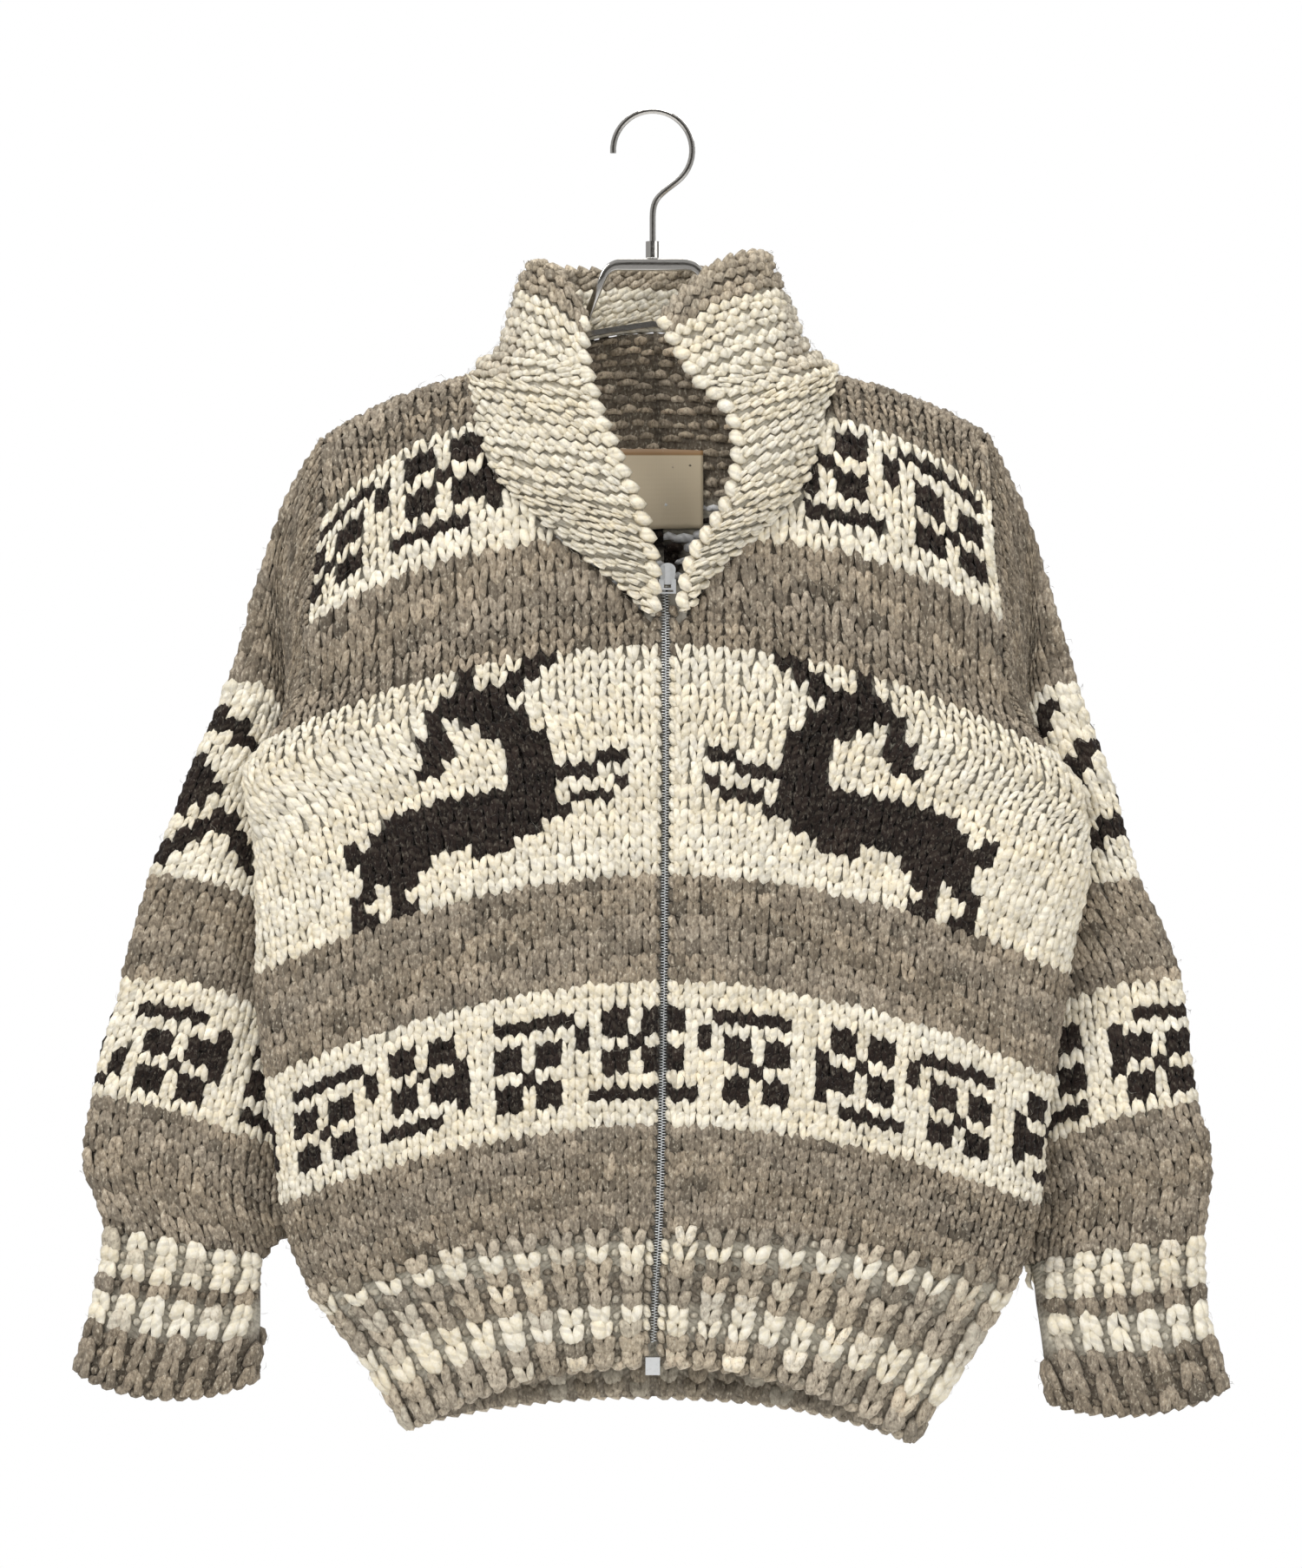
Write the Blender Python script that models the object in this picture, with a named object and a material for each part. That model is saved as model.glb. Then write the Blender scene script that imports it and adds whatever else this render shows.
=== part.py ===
"""Hand-knitted zip cardigan of thick wool, hanging on a plain metal hanger.

The cardigan is built as it is made: a back, two fronts, two sleeves, ribbed hems and cuffs, a shawl
collar and a metal zip, each a wall of knitted cloth or a hard piece of its own. The cloth of the body
follows rows of knitting: every row is one closed ring round the body, and the tables below give those
rings from the hem up. The sleeves are rings too, from the armhole down to the cuff.

Axes: X to the right as the cardigan is seen from its front, Y from front to back, Z up. The origin is
the top of the inside of the hook, where a rail carries it. Tables and sizes are in millimetres.
"""

import math
from collections import namedtuple

import bmesh
import bpy
import numpy as np
from mathutils.kdtree import KDTree

MM = 0.001  # the tables are in millimetres and Blender's meshes in metres

# --- Driving sizes of the cloth ---
WALL = 5.0  # thickness of the knitted cloth
HALF_SEAM = 0.15  # each piece stops this far short of the seam line
ROUNDNESS = 2.6  # exponent of the superellipse that a ring of the body follows
UNDERARM_ROW = 53.0
RIB_ROW = 11.0  # the hem rib ends and the fronts and back begin
CLOSING_ROW = 64.0  # above this row the body closes towards the shoulder seam
TOP_ROW = 80.0
ZIP_GAP = 5.0  # from the middle of the zip to the edge of each front
NECK_X = 120.5  # half-width of the neck at the shoulder seams
NECK_LIFT = 30.0  # how far back the nape stands behind the shoulder seams
NECK_RISE = 21.0  # how far the nape stands above the line of the shoulders

# A ring of the body, by its row of knitting: the zip's X, the height at the zip, how sharply the row
# droops to the sides, how far the front and back stand from the middle, and how much lower the back is.
Ring = namedtuple("Ring", "row zip_x z droop front back back_drop")
RINGS = (
    Ring(0, 0.0, -818, 2.2, 30, 27, 27),
    Ring(5, 1.5, -778, 2.2, 31, 28, 23),
    Ring(11, 4.0, -728, 2.1, 34, 29, 18),
    Ring(19, 6.0, -661, 2.0, 36, 30, 9),
    Ring(30, 7.5, -567, 1.9, 37, 30, 0),
    Ring(38, 8.0, -498, 1.9, 38, 30, 0),
    Ring(47, 8.5, -424, 2.0, 39, 30, 0),
    Ring(56, 8.5, -350, 2.0, 39, 30, 0),
    Ring(60, 8.0, -319, 2.3, 38, 30, 0),
    Ring(64, 7.0, -280, 2.8, 38, 30, 0),
    Ring(69, 5.0, -236, 3.2, 38, 31, 0),
    Ring(74, 3.0, -196, 3.6, 37, 32, 0),
    Ring(80, 0.5, -162, 2.8, 36, 32, 0),
)

# The side of the body: where a ring turns round the side (X and Z), how many degrees round from its
# middle the front reaches, and the same turn and reach for the back, which differ above the underarm.
Side = namedtuple("Side", "row x z wrap back_x back_wrap")
LEFT_SIDE = (
    Side(0, -160, -863, 90, -160, 90),
    Side(5, -192, -812, 90, -192, 90),
    Side(11, -224, -770, 90, -224, 90),
    Side(19, -244, -715, 90, -244, 90),
    Side(30, -253, -632, 90, -253, 90),
    Side(38, -259, -564, 92, -259, 88),
    Side(47, -260, -487, 108, -260, 72),
    Side(53, -267, -433, 125, -267, 55),
    Side(56, -250, -410, 90, -266, 54),
    Side(60, -230, -377, 80, -253, 61),
    Side(64, -235, -339, 75, -245, 65),
    Side(69, -235, -304, 68, -235, 68),
    Side(74, -231, -267, 66, -231, 66),
    Side(80, -238, -212, 62, -238, 62),
)
RIGHT_SIDE = (
    Side(0, 169, -872, 90, 169, 90),
    Side(5, 203, -821, 90, 203, 90),
    Side(11, 238, -763, 90, 238, 90),
    Side(19, 253, -715, 90, 253, 90),
    Side(30, 263, -632, 90, 263, 90),
    Side(38, 271, -564, 92, 271, 88),
    Side(47, 286, -487, 108, 286, 72),
    Side(53, 280, -443, 125, 280, 55),
    Side(56, 258, -417, 90, 275, 54),
    Side(60, 236, -382, 80, 260, 61),
    Side(64, 234, -333, 75, 244, 65),
    Side(69, 236, -294, 68, 236, 68),
    Side(74, 238, -256, 66, 238, 66),
    Side(80, 240, -210, 62, 240, 62),
)

# A ridge of the collar's lapel, by the body row that its outer end is sewn to: X of that seam, and the
# free front edge. Rows past the last body row stand free of the body and turn round the neck.
Ridge = namedtuple("Ridge", "row seam_x edge_x edge_y edge_z")
LEFT_LAPEL = (
    Ridge(59, -6.8, 3.4, -41.0, -331.5),
    Ridge(61.5, -29.6, 3.4, -43.0, -308.5),
    Ridge(64, -61.0, 1.7, -45.0, -291.0),
    Ridge(66.5, -82.0, -2.3, -46.5, -273.5),
    Ridge(69, -102.0, -9.0, -47.0, -255.0),
    Ridge(71.5, -111.0, -17.0, -47.0, -238.0),
    Ridge(74, -116.0, -25.0, -46.0, -218.0),
    Ridge(77, -118.6, -31.5, -45.0, -203.5),
    Ridge(79, -120.0, -35.5, -44.0, -191.0),
    Ridge(80, -120.0, -37.6, -43.0, -183.0),
)
RIGHT_LAPEL = (
    Ridge(59, 24.0, 17.3, -41.0, -329.0),
    Ridge(61.5, 40.0, 19.4, -43.0, -310.5),
    Ridge(64, 66.0, 25.7, -45.0, -290.0),
    Ridge(66.5, 89.0, 37.0, -46.5, -274.0),
    Ridge(69, 102.6, 46.7, -47.0, -257.5),
    Ridge(71.5, 109.0, 52.0, -47.0, -240.5),
    Ridge(74, 113.0, 53.6, -46.0, -224.0),
    Ridge(77, 117.0, 51.3, -45.0, -206.5),
    Ridge(79, 120.0, 45.6, -44.0, -195.0),
    Ridge(80, 121.0, 40.5, -43.0, -188.5),
)

# The part of the collar that stands above the neckline, by its share of the full height: where it
# turns round the side of the neck, and its free front edge.
Stand = namedtuple("Stand", "share turn_x turn_z edge_x edge_y edge_z")
LEFT_STAND = (
    Stand(0.30, -99, -153, -41, -42, -171.5),
    Stand(0.55, -93, -136, -43, -41, -162.0),
    Stand(0.78, -87, -116, -44, -40, -149.0),
    Stand(1.00, -80, -99, -43, -38, -138.0),
)
RIGHT_STAND = (
    Stand(0.30, 101, -153, 29, -42, -179.0),
    Stand(0.55, 94, -137, 20, -41, -165.5),
    Stand(0.78, 87, -122, 12, -40, -152.0),
    Stand(1.00, 75, -92, 5, -38, -138.0),
)
NAPE_TOP_Z = -101.0  # top edge of the collar behind the neck
NAPE_TOP_Y = 34.0
LAPEL_PUFF = 4.0  # how far a lapel swells between its seam and its edge
NECK_CURVE = 0.7  # exponent of the curve round the back of the neck

# A ring of a sleeve, by its own row of knitting from the armhole: its outer and inner edges, how
# sharply it droops from one to the other, its front and back depths, and the sag of its lower edge.
Cuff = namedtuple("Cuff", "row out_x out_y out_z in_x in_y in_z droop front back sag")
LEFT_SLEEVE = (
    Cuff(0, -217, 2, -212, -232, 24, -425, 1.4, 16, 24, 0),
    Cuff(7, -243, 6, -262, -240, 33, -447, 2.0, 12, 25, 0),
    Cuff(14, -263, 10, -318, -234, 38, -462, 3.0, 10, 26, 0),
    Cuff(20, -279, 14, -372, -227, 37, -475, 4.0, 10, 26, 0),
    Cuff(28, -306, 12, -438, -230, 40, -512, 3.2, 12, 28, 0),
    Cuff(36, -331, 10, -501, -229, 40, -548, 2.5, 12, 30, 0),
    Cuff(44, -348, 10, -568, -229, 40, -605, 2.2, 13, 30, 0),
    Cuff(54, -368, 10, -646, -230, 38, -690, 1.5, 15, 30, 0),
    Cuff(59, -372, 10, -689, -231, 34, -724, 1.3, 17, 28, 0),
    Cuff(64, -360, 10, -733, -256, 26, -753, 1.2, 18, 22, 0),
    Cuff(69, -367, 10, -772, -258, 22, -784, 1.1, 18, 20, 3),
    Cuff(75, -380, 10, -826, -260, 20, -832, 1.0, 21, 23, 13),
)
RIGHT_SLEEVE = (
    Cuff(0, 218, 2, -210, 240, 24, -435, 1.4, 16, 24, 0),
    Cuff(7, 244, 6, -262, 246, 33, -457, 2.0, 12, 25, 0),
    Cuff(14, 264, 10, -320, 238, 38, -470, 3.0, 10, 26, 0),
    Cuff(20, 280, 14, -374, 228, 37, -480, 4.0, 10, 26, 0),
    Cuff(28, 303, 12, -447, 232, 40, -520, 3.2, 12, 28, 0),
    Cuff(36, 320, 10, -503, 233, 40, -553, 2.5, 12, 30, 0),
    Cuff(44, 348, 10, -569, 231, 40, -608, 2.2, 13, 30, 0),
    Cuff(54, 357, 10, -650, 233, 38, -690, 1.5, 15, 30, 0),
    Cuff(59, 366, 10, -692, 235, 34, -727, 1.3, 17, 28, 0),
    Cuff(64, 362, 10, -738, 249, 26, -756, 1.2, 18, 22, 0),
    Cuff(69, 365, 10, -780, 254, 22, -790, 1.1, 18, 20, 3),
    Cuff(75, 379, 10, -837, 262, 20, -849, 1.0, 21, 23, 10),
)
CUFF_ROW = 64.0
ARMHOLE_FADE = 14.0  # the sleeve takes the shape of the armhole up to this row
SLEEVE_ROUNDNESS = 2.2

# --- Rows and columns at which the cloth is faceted ---
HEM_ROWS = (0, 3.5, 7.5, RIB_ROW)
BODY_ROWS = (RIB_ROW, 19, 24.5, 30, 38, 46, 50, UNDERARM_ROW)
ARMHOLE_ROWS = (UNDERARM_ROW, 56, 58, 59, 61.5, 64, 66.5, 69, 71.5, 74, 77, 79, TOP_ROW)
SLEEVE_ROWS = (0, 3, 7, 14, 20, 28, 36, 44, 54, 59, CUFF_ROW)
CUFF_ROWS = (CUFF_ROW, 67, 71, 75)
SIDE_COLUMNS = 8  # columns of a front, and of the back beside the neck
NAPE_COLUMNS = 6
LAPEL_COLUMNS = 5

# --- Zip ---
NECK_FOOT_ROW = 58.0  # the fronts' neckline leaves the zip at this row
TAPE_ROWS = (0.6, 3.5, 7.5, 11, 19, 24.5, 30, 38, 46, 50, 53, 56, 58, 59, 60.86)
TAPE_EDGE = 1.8  # from the middle of the zip to each tape
TAPE_WIDTH = 12.0
TAPE_THICK = 1.0
TAPE_DEPTH = WALL + 0.35  # the tapes are sewn behind the fronts
TEETH_ROWS = (1.9, 3.5, 7.5, 11, 19, 24.5, 30, 38, 46, 50, 53, 56, 58, 59, 60.86)
TEETH_EDGE = 0.2
TEETH_WIDTH = 3.2
TEETH_THICK = 2.7
TEETH_DEPTH = 2.3
SLIDER_X = 9.6
SLIDER_FRONT = -41.2
SLIDER_TOP = -296.8
SLIDER_WIDTH = 10.6
SLIDER_HEIGHT = 14.0
SLIDER_THICK = 5.6
BAIL_WIDTH = 3.2
BAIL_PROUD = 3.3  # how far the bail stands in front of the slider
BAIL_BAR = 1.15
PULL_THICK = 1.4
PULL_PLAY = 0.35  # clearance of the pull's bar inside the bail
PULL_WIDTH = 11.0
PULL_LENGTH = 9.4
PULL_WINDOW = (4.6, 4.4)  # the opening that the bail stands in
PULL_SLOT = (7.4, 1.4)
BOX_WIDTH = 9.4
BOX_HEIGHT = 11.5
BOX_THICK = 3.6
BOX_FOOT = -824.0

# --- Hanger ---
WIRE = 4.0  # diameter of the hook's wire
HOOK_RADIUS = 26.0  # of the wire's middle line
STEM_FOOT = -83.7
FERRULE_RADIUS = 4.6
FERRULE_TOP = -84.0
FERRULE_FOOT = -94.7
HEAD_TOP = -95.0
HEAD_SHOULDER = 26.0  # half-width of the frame under the hook, to the start of its round corners
HEAD_FOOT = 47.0  # half-width of the frame where it stands on the arch
HEAD_CORNER = 9.0
HEAD_BAR = 8.2  # height of the frame's top bar
HEAD_LEG = 5.0
HEAD_DEEP = 6.0
ARCH_THICK = 3.5
ARCH_DEEP = 5.0
ARCH_SUNK = 4.0  # under the inside of the shoulder seams
ARCH_REACH = 186.0

# The arch that spreads the shoulders, from its middle to the neck. Past that it follows the seams.
Arch = namedtuple("Arch", "x z")
ARCH = (Arch(0, -138.0), Arch(47, -146.0), Arch(90, -167.0), Arch(NECK_X, -181.0))

# --- Label behind the neck ---
LABEL_ROWS = (64.9, 66.5, 69, 70.6)
LABEL_HALF = 26.0
LABEL_X = 2.0
LABEL_DEPTH = WALL + 0.5
LABEL_THICK = 0.8

# --- Finishes: base colour, roughness, metallic ---
FINISHES = {
    "cream_wool": ((0.80, 0.75, 0.63), 0.95, 0.0),
    "grey_wool": ((0.33, 0.28, 0.22), 0.95, 0.0),
    "steel": ((0.62, 0.60, 0.57), 0.25, 1.0),
    "zip_metal": ((0.72, 0.73, 0.74), 0.30, 1.0),
    "zip_tape": ((0.82, 0.79, 0.71), 0.85, 0.0),
    "satin": ((0.70, 0.62, 0.48), 0.50, 0.0),
}


# ---------------------------------------------------------------- tables and curves
def along(table, column, row):
    """Reads a column at any row by a smooth curve through the table that never overshoots it."""
    xs = np.array([entry[0] for entry in table], float)
    ys = np.array([getattr(entry, column) for entry in table], float)
    row = np.asarray(row, float)
    step = np.diff(xs)
    slope = np.diff(ys) / step
    tangent = np.concatenate(([slope[0]], np.zeros(len(xs) - 2), [slope[-1]]))
    before, after = slope[:-1], slope[1:]
    same = before * after > 0
    tangent[1:-1][same] = 2 * before[same] * after[same] / (before[same] + after[same])
    at = np.clip(np.searchsorted(xs, row, side="right") - 1, 0, len(xs) - 2)
    t = (row - xs[at]) / step[at]
    return (
        ys[at] * (2 * t**3 - 3 * t**2 + 1)
        + step[at] * tangent[at] * (t**3 - 2 * t**2 + t)
        + ys[at + 1] * (3 * t**2 - 2 * t**3)
        + step[at] * tangent[at + 1] * (t**3 - t**2)
    )


def across(degrees):
    """Share of a ring's half-width at an angle from its middle, on the superellipse."""
    return np.abs(np.sin(np.radians(degrees))) ** (2 / ROUNDNESS)


def outwards(degrees):
    """Share of a ring's depth at an angle from its middle, negative once past the side."""
    cosine = np.cos(np.radians(degrees))
    return np.sign(cosine) * np.abs(cosine) ** (2 / ROUNDNESS)


def angle_at(share):
    """The angle from the middle, in degrees, at which a ring has this share of its half-width."""
    return np.degrees(np.arcsin(np.clip(share, 0, 1) ** (ROUNDNESS / 2)))


def closing(row):
    """How much of its depth the body keeps at a row: all of it, then an ellipse up to the shoulder."""
    rise = np.clip((row - CLOSING_ROW) / (TOP_ROW - CLOSING_ROW), 0, 1)
    return np.sqrt(1 - rise**2)


# ---------------------------------------------------------------- surfaces of the body
def side_turn(side, back, row):
    """X at which the front's or the back's half of a ring turns, and the angle that it reaches."""
    turn, wrap = along(side, "x", row), along(side, "wrap", row)
    if back:
        sewn = np.asarray(row) <= UNDERARM_ROW  # below the underarm the side seam joins the two
        turn = np.where(sewn, turn, along(side, "back_x", row))
        wrap = np.where(sewn, 180 - wrap, along(side, "back_wrap", row))
    return turn, wrap


def body_point(side, back, degrees, row):
    """Outer surface of the body at an angle from the front's middle, or the back's, and a row."""
    degrees, row = np.broadcast_arrays(np.asarray(degrees, float), np.asarray(row, float))
    middle = along(RINGS, "zip_x", row)
    turn, wrap = side_turn(side, back, row)
    reach = turn - middle
    front_wrap = along(side, "wrap", row)
    share = across(degrees)
    x = middle + reach * share
    edge_share = np.where(front_wrap >= 90, across(front_wrap), 1.0)
    droop_share = share / across(wrap) * edge_share
    middle_z = along(RINGS, "z", row) - (along(RINGS, "back_drop", row) if back else 0.0)
    z = middle_z + (along(side, "z", row) - middle_z) * droop_share ** along(RINGS, "droop", row)
    front_y = -along(RINGS, "front", row) * outwards(degrees)
    back_y = along(RINGS, "back", row) * outwards(degrees)
    if back:
        y = back_y * closing(row)
        neck = np.clip(1 - (x - 0.5) ** 2 / NECK_X**2, 0, 1)
        y = y + NECK_LIFT * (1 - closing(row)) * neck**NECK_CURVE
        rise = np.clip((row - CLOSING_ROW) / (TOP_ROW - CLOSING_ROW), 0, 1)
        z = z + NECK_RISE * rise**2 * neck**2
    else:
        y = np.where(degrees <= 90, front_y, -back_y) * closing(row)
    return np.stack([x, y, z], axis=-1)


def angle_of_x(side, back, x, row):
    """The angle at which the body's surface has this X, on the part that faces straight out."""
    middle = along(RINGS, "zip_x", row)
    return angle_at((x - middle) / (side_turn(side, back, row)[0] - middle))


def front_edge_x(side, lapel, row):
    """X at which a front begins: at the zip, and above the neck's foot at the neckline."""
    if row > NECK_FOOT_ROW:
        return along(lapel, "seam_x", row)
    return along(RINGS, "zip_x", row) + np.sign(side[0].x) * ZIP_GAP


def seam_x(side):
    """X of the columns along a shoulder seam, from the neck to the armhole."""
    neck = 0.5 + np.sign(side[0].x) * NECK_X
    tip = body_point(side, True, side[-1].back_wrap, TOP_ROW)[0]
    return np.linspace(neck, tip, SIDE_COLUMNS + 1)


def nape_x():
    """X of the columns across the nape, closest together at the sides of the neck."""
    return 0.5 + NECK_X * np.sin(np.linspace(-math.pi / 2, math.pi / 2, NAPE_COLUMNS + 1))


def front_grid(side, lapel, rows):
    """Grid of a front from its zip or neckline edge round to the side seam or armhole."""
    grid = []
    for row in rows:
        if row == TOP_ROW:
            degrees = angle_of_x(side, False, seam_x(side), row)
        else:
            start = angle_of_x(side, False, front_edge_x(side, lapel, row), row)
            degrees = np.linspace(start, side_turn(side, False, row)[1], SIDE_COLUMNS + 1)
        grid.append(body_point(side, False, degrees, row))
    return np.array(grid)


def back_row(row):
    """One row of the back, from its left edge over the nape to its right edge."""
    points = []
    for side in (LEFT_SIDE, RIGHT_SIDE):
        sign = np.sign(side[0].x)
        nape = nape_x()
        own = nape[nape * sign > 0.6] if sign > 0 else nape[nape < 0.6]
        inner = angle_of_x(side, True, own[np.argsort(np.abs(own))], row)
        if row == TOP_ROW:
            outer = angle_of_x(side, True, seam_x(side), row)
        else:
            outer = np.linspace(inner[-1], side_turn(side, True, row)[1], SIDE_COLUMNS + 1)
        arm = body_point(side, True, np.concatenate((inner, outer[1:])), row)
        points.append(arm[::-1] if sign < 0 else arm)
    return np.concatenate(points)


def back_grid(rows):
    """Grid of the back over both its halves."""
    return np.array([back_row(row) for row in rows])


# ---------------------------------------------------------------- sleeves
def armhole(side):
    """The armhole as a loop: down its front edge to the underarm, then up its back edge."""
    rows = ARMHOLE_ROWS[::-1]
    front = [body_point(side, False, side_turn(side, False, row)[1], row) for row in rows]
    back = [body_point(side, True, side_turn(side, True, row)[1], row) for row in rows]
    return np.array(front + back[-2:0:-1])


def armhole_shares(side):
    """Share of the way from shoulder to underarm, and front (-1) or back (1), of the loop's points."""
    loop = armhole(side)[: len(ARMHOLE_ROWS)]
    run = np.concatenate(([0], np.cumsum(np.linalg.norm(np.diff(loop, axis=0), axis=1))))
    down = run / run[-1]
    return np.concatenate((down, down[-2:0:-1])), np.repeat((-1, 1), (len(down), len(down) - 2))


def sleeve_grid(side, sleeve, rows):
    """Rings of a sleeve: flattened tubes that start as the armhole's own loop."""
    loop = armhole(side)
    share, face = armhole_shares(side)
    swell = (1 - np.abs(2 * share - 1) ** SLEEVE_ROUNDNESS) ** (1 / SLEEVE_ROUNDNESS)
    grid = []
    for row in rows:
        at = {name: along(sleeve, name, row) for name in Cuff._fields[1:]}
        x = at["out_x"] + (at["in_x"] - at["out_x"]) * share
        y = at["out_y"] + (at["in_y"] - at["out_y"]) * share
        y = y + np.where(face < 0, -at["front"], at["back"]) * swell
        z = at["out_z"] + (at["in_z"] - at["out_z"]) * share ** at["droop"]
        z = z - at["sag"] * 4 * share * (1 - share)
        ring = np.stack([x, y, z], axis=-1)
        taken = np.clip(row / ARMHOLE_FADE, 0, 1)
        grid.append(loop + (ring - loop) * taken * (2 - taken))
    return np.array(grid)


# ---------------------------------------------------------------- collar
def lapel_grid(side, lapel, stand):
    """Ridges of a lapel from its seam, or its turn round the neck, to the free front edge."""
    across_share = np.linspace(0, 1, LAPEL_COLUMNS + 1)
    quarter = across_share * math.pi / 2
    grid = []
    for ridge in lapel:
        start = angle_of_x(side, False, ridge.seam_x, ridge.row)
        seam = body_point(side, False, start, ridge.row)
        turned = np.clip((ridge.row - 74) / 7, 0, 1)
        grid.append(ridge_points(seam, ridge, turned, 1.0, across_share, quarter))
    for ridge in stand:
        turn = np.array([ridge.turn_x, 0.0, ridge.turn_z])
        grid.append(ridge_points(turn, ridge, 1.0, 1 + 2.5 * ridge.share, across_share, quarter))
    return np.array(grid)


def ridge_points(start, ridge, turned, fall, share, quarter):
    """One ridge from its start to its free edge, as a quarter-ellipse where it turns round the neck."""
    straight_x = start[0] + (ridge.edge_x - start[0]) * share
    turned_x = ridge.edge_x + (start[0] - ridge.edge_x) * np.cos(quarter)
    x = straight_x + (turned_x - straight_x) * turned
    y = start[1] + (ridge.edge_y - start[1]) * np.sin(quarter) - LAPEL_PUFF * np.sin(2 * quarter)
    z = start[2] + (ridge.edge_z - start[2]) * share**fall
    return np.stack([x, y, z], axis=-1)


def collar_band():
    """The collar behind the neck, from the neckline of the back up to its top edge."""
    seam = back_row(TOP_ROW)[SIDE_COLUMNS:-SIDE_COLUMNS]
    lean = (seam[:, 0] - 0.5) / NECK_X
    to_right = (lean + 1) / 2
    top_z = NAPE_TOP_Z + np.where(lean < 0, LEFT_STAND[-1].turn_z, RIGHT_STAND[-1].turn_z) * lean**2
    top_z = top_z - NAPE_TOP_Z * lean**2
    grid = [seam]
    for left, right in zip(LEFT_STAND, RIGHT_STAND):
        climbs = [
            (now.turn_z - ends[0, 2]) / (top.turn_z - ends[0, 2])
            for now, top, ends in (
                (left, LEFT_STAND[-1], seam[:1]),
                (right, RIGHT_STAND[-1], seam[-1:]),
            )
        ]
        climb = climbs[0] + (climbs[1] - climbs[0]) * to_right
        x = left.turn_x + (right.turn_x - left.turn_x) * to_right
        depth = NECK_LIFT + (NAPE_TOP_Y - NECK_LIFT) * left.share
        y = depth * np.clip(1 - lean**2, 0, 1) ** NECK_CURVE
        z = seam[:, 2] + (top_z - seam[:, 2]) * climb
        grid.append(np.stack([x, y, z], axis=-1))
    return np.array(grid)


# ---------------------------------------------------------------- cloth walls
def quads_of(count_rows, count_columns, ring):
    """Corner indices of the quads of a grid, joined round when it is a ring."""
    wide = count_columns if ring else count_columns - 1
    row, column = np.meshgrid(np.arange(count_rows - 1), np.arange(wide), indexing="ij")
    beside = (column + 1) % count_columns
    corners = (row * count_columns + column, row * count_columns + beside)
    above = ((row + 1) * count_columns + beside, (row + 1) * count_columns + column)
    return np.stack([*corners, *above], axis=-1).reshape(-1, 4)


def face_normals(points, quads):
    """Area vectors of the quads, from their diagonals."""
    a, b, c, d = (points[quads[:, k]] for k in range(4))
    return np.cross(c - a, d - b) / 2


def turned_out(grid, quads, facing):
    """The quads turned so that they face a direction, or away from the middle of a tube."""
    points = grid.reshape(-1, 3)
    normals = face_normals(points, quads)
    if facing is None:
        middles = np.repeat(grid.mean(axis=1), grid.shape[1], axis=0)
        outward = points[quads[:, 0]] - middles[quads[:, 0]]
    else:
        outward = np.array(facing, float)
    return quads if (normals * outward).sum() > 0 else quads[:, ::-1]


def welded(points, reach=0.02):
    """For each point, the index of the first one within reach of it."""
    tree = KDTree(len(points))
    for index, point in enumerate(points):
        tree.insert(point, index)
    tree.balance()
    return np.array([min(hit[1] for hit in tree.find_range(point, reach)) for point in points])


def cloth_solids(pieces):
    """Gives every piece of cloth its wall, so that neighbours meet along their seams.

    The outer surfaces of all pieces are welded first, and share their normals along each seam. Each
    piece then grows inwards by the wall and draws back from its own edges by half the seam's gap.
    """
    all_points, all_quads, owners = [], [], []
    offset = 0
    for name, patches in pieces.items():
        for grid, ring, facing in patches:
            quads = turned_out(grid, quads_of(grid.shape[0], grid.shape[1], ring), facing)
            all_points.append(grid.reshape(-1, 3))
            all_quads.append(quads + offset)
            owners += [name] * len(quads)
            offset += grid.shape[0] * grid.shape[1]
    points = np.concatenate(all_points)
    first = welded(points)
    quads = first[np.concatenate(all_quads)]
    normals = np.zeros_like(points)
    vectors = face_normals(points, quads)
    for corner in range(4):
        np.add.at(normals, quads[:, corner], vectors)
    lengths = np.linalg.norm(normals, axis=1, keepdims=True)
    normals /= np.where(lengths > 0, lengths, 1)
    owners = np.array(owners)
    return {name: walled(points, normals, quads[owners == name]) for name in pieces}


def walled(points, normals, quads):
    """Points and triangles of one closed wall: outer surface, inner surface and rims."""
    edges = {}
    for quad in quads:
        for start, end in zip(quad, np.roll(quad, -1)):
            edges[int(start), int(end)] = True
    rims = [edge for edge in edges if edge[::-1] not in edges]
    shift = edge_shift(points, normals, rims)
    used = np.unique(quads)
    place = {int(index): position for position, index in enumerate(used)}
    outer = np.array([points[i] + shift.get(int(i), 0.0) for i in used])
    inner = outer - normals[used] * WALL
    count = len(used)
    faces = []
    for quad in quads:
        a, b, c, d = (place[int(index)] for index in quad)
        faces += [(a, b, c), (a, c, d)]
        faces += [(c + count, b + count, a + count), (d + count, c + count, a + count)]
    for start, end in rims:
        a, b = place[start], place[end]
        if start < end:
            faces += [(b, a, b + count), (a, a + count, b + count)]
        else:
            faces += [(b, a, a + count), (b, a + count, b + count)]
    return np.concatenate((outer, inner)), faces


def edge_shift(points, normals, rims):
    """How far each edge point moves into its own piece, along the surface, to open the seam."""
    inward = {}
    for start, end in rims:
        direction = points[end] - points[start]
        direction = direction / np.linalg.norm(direction)
        for index in (start, end):
            side = np.cross(normals[index], direction)
            inward.setdefault(index, []).append(side / np.linalg.norm(side))
    shift = {}
    for index, sides in inward.items():
        total = sum(sides)
        shift[index] = HALF_SEAM * total / max(1.0, float(total @ total) / len(sides))
    return shift


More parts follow.
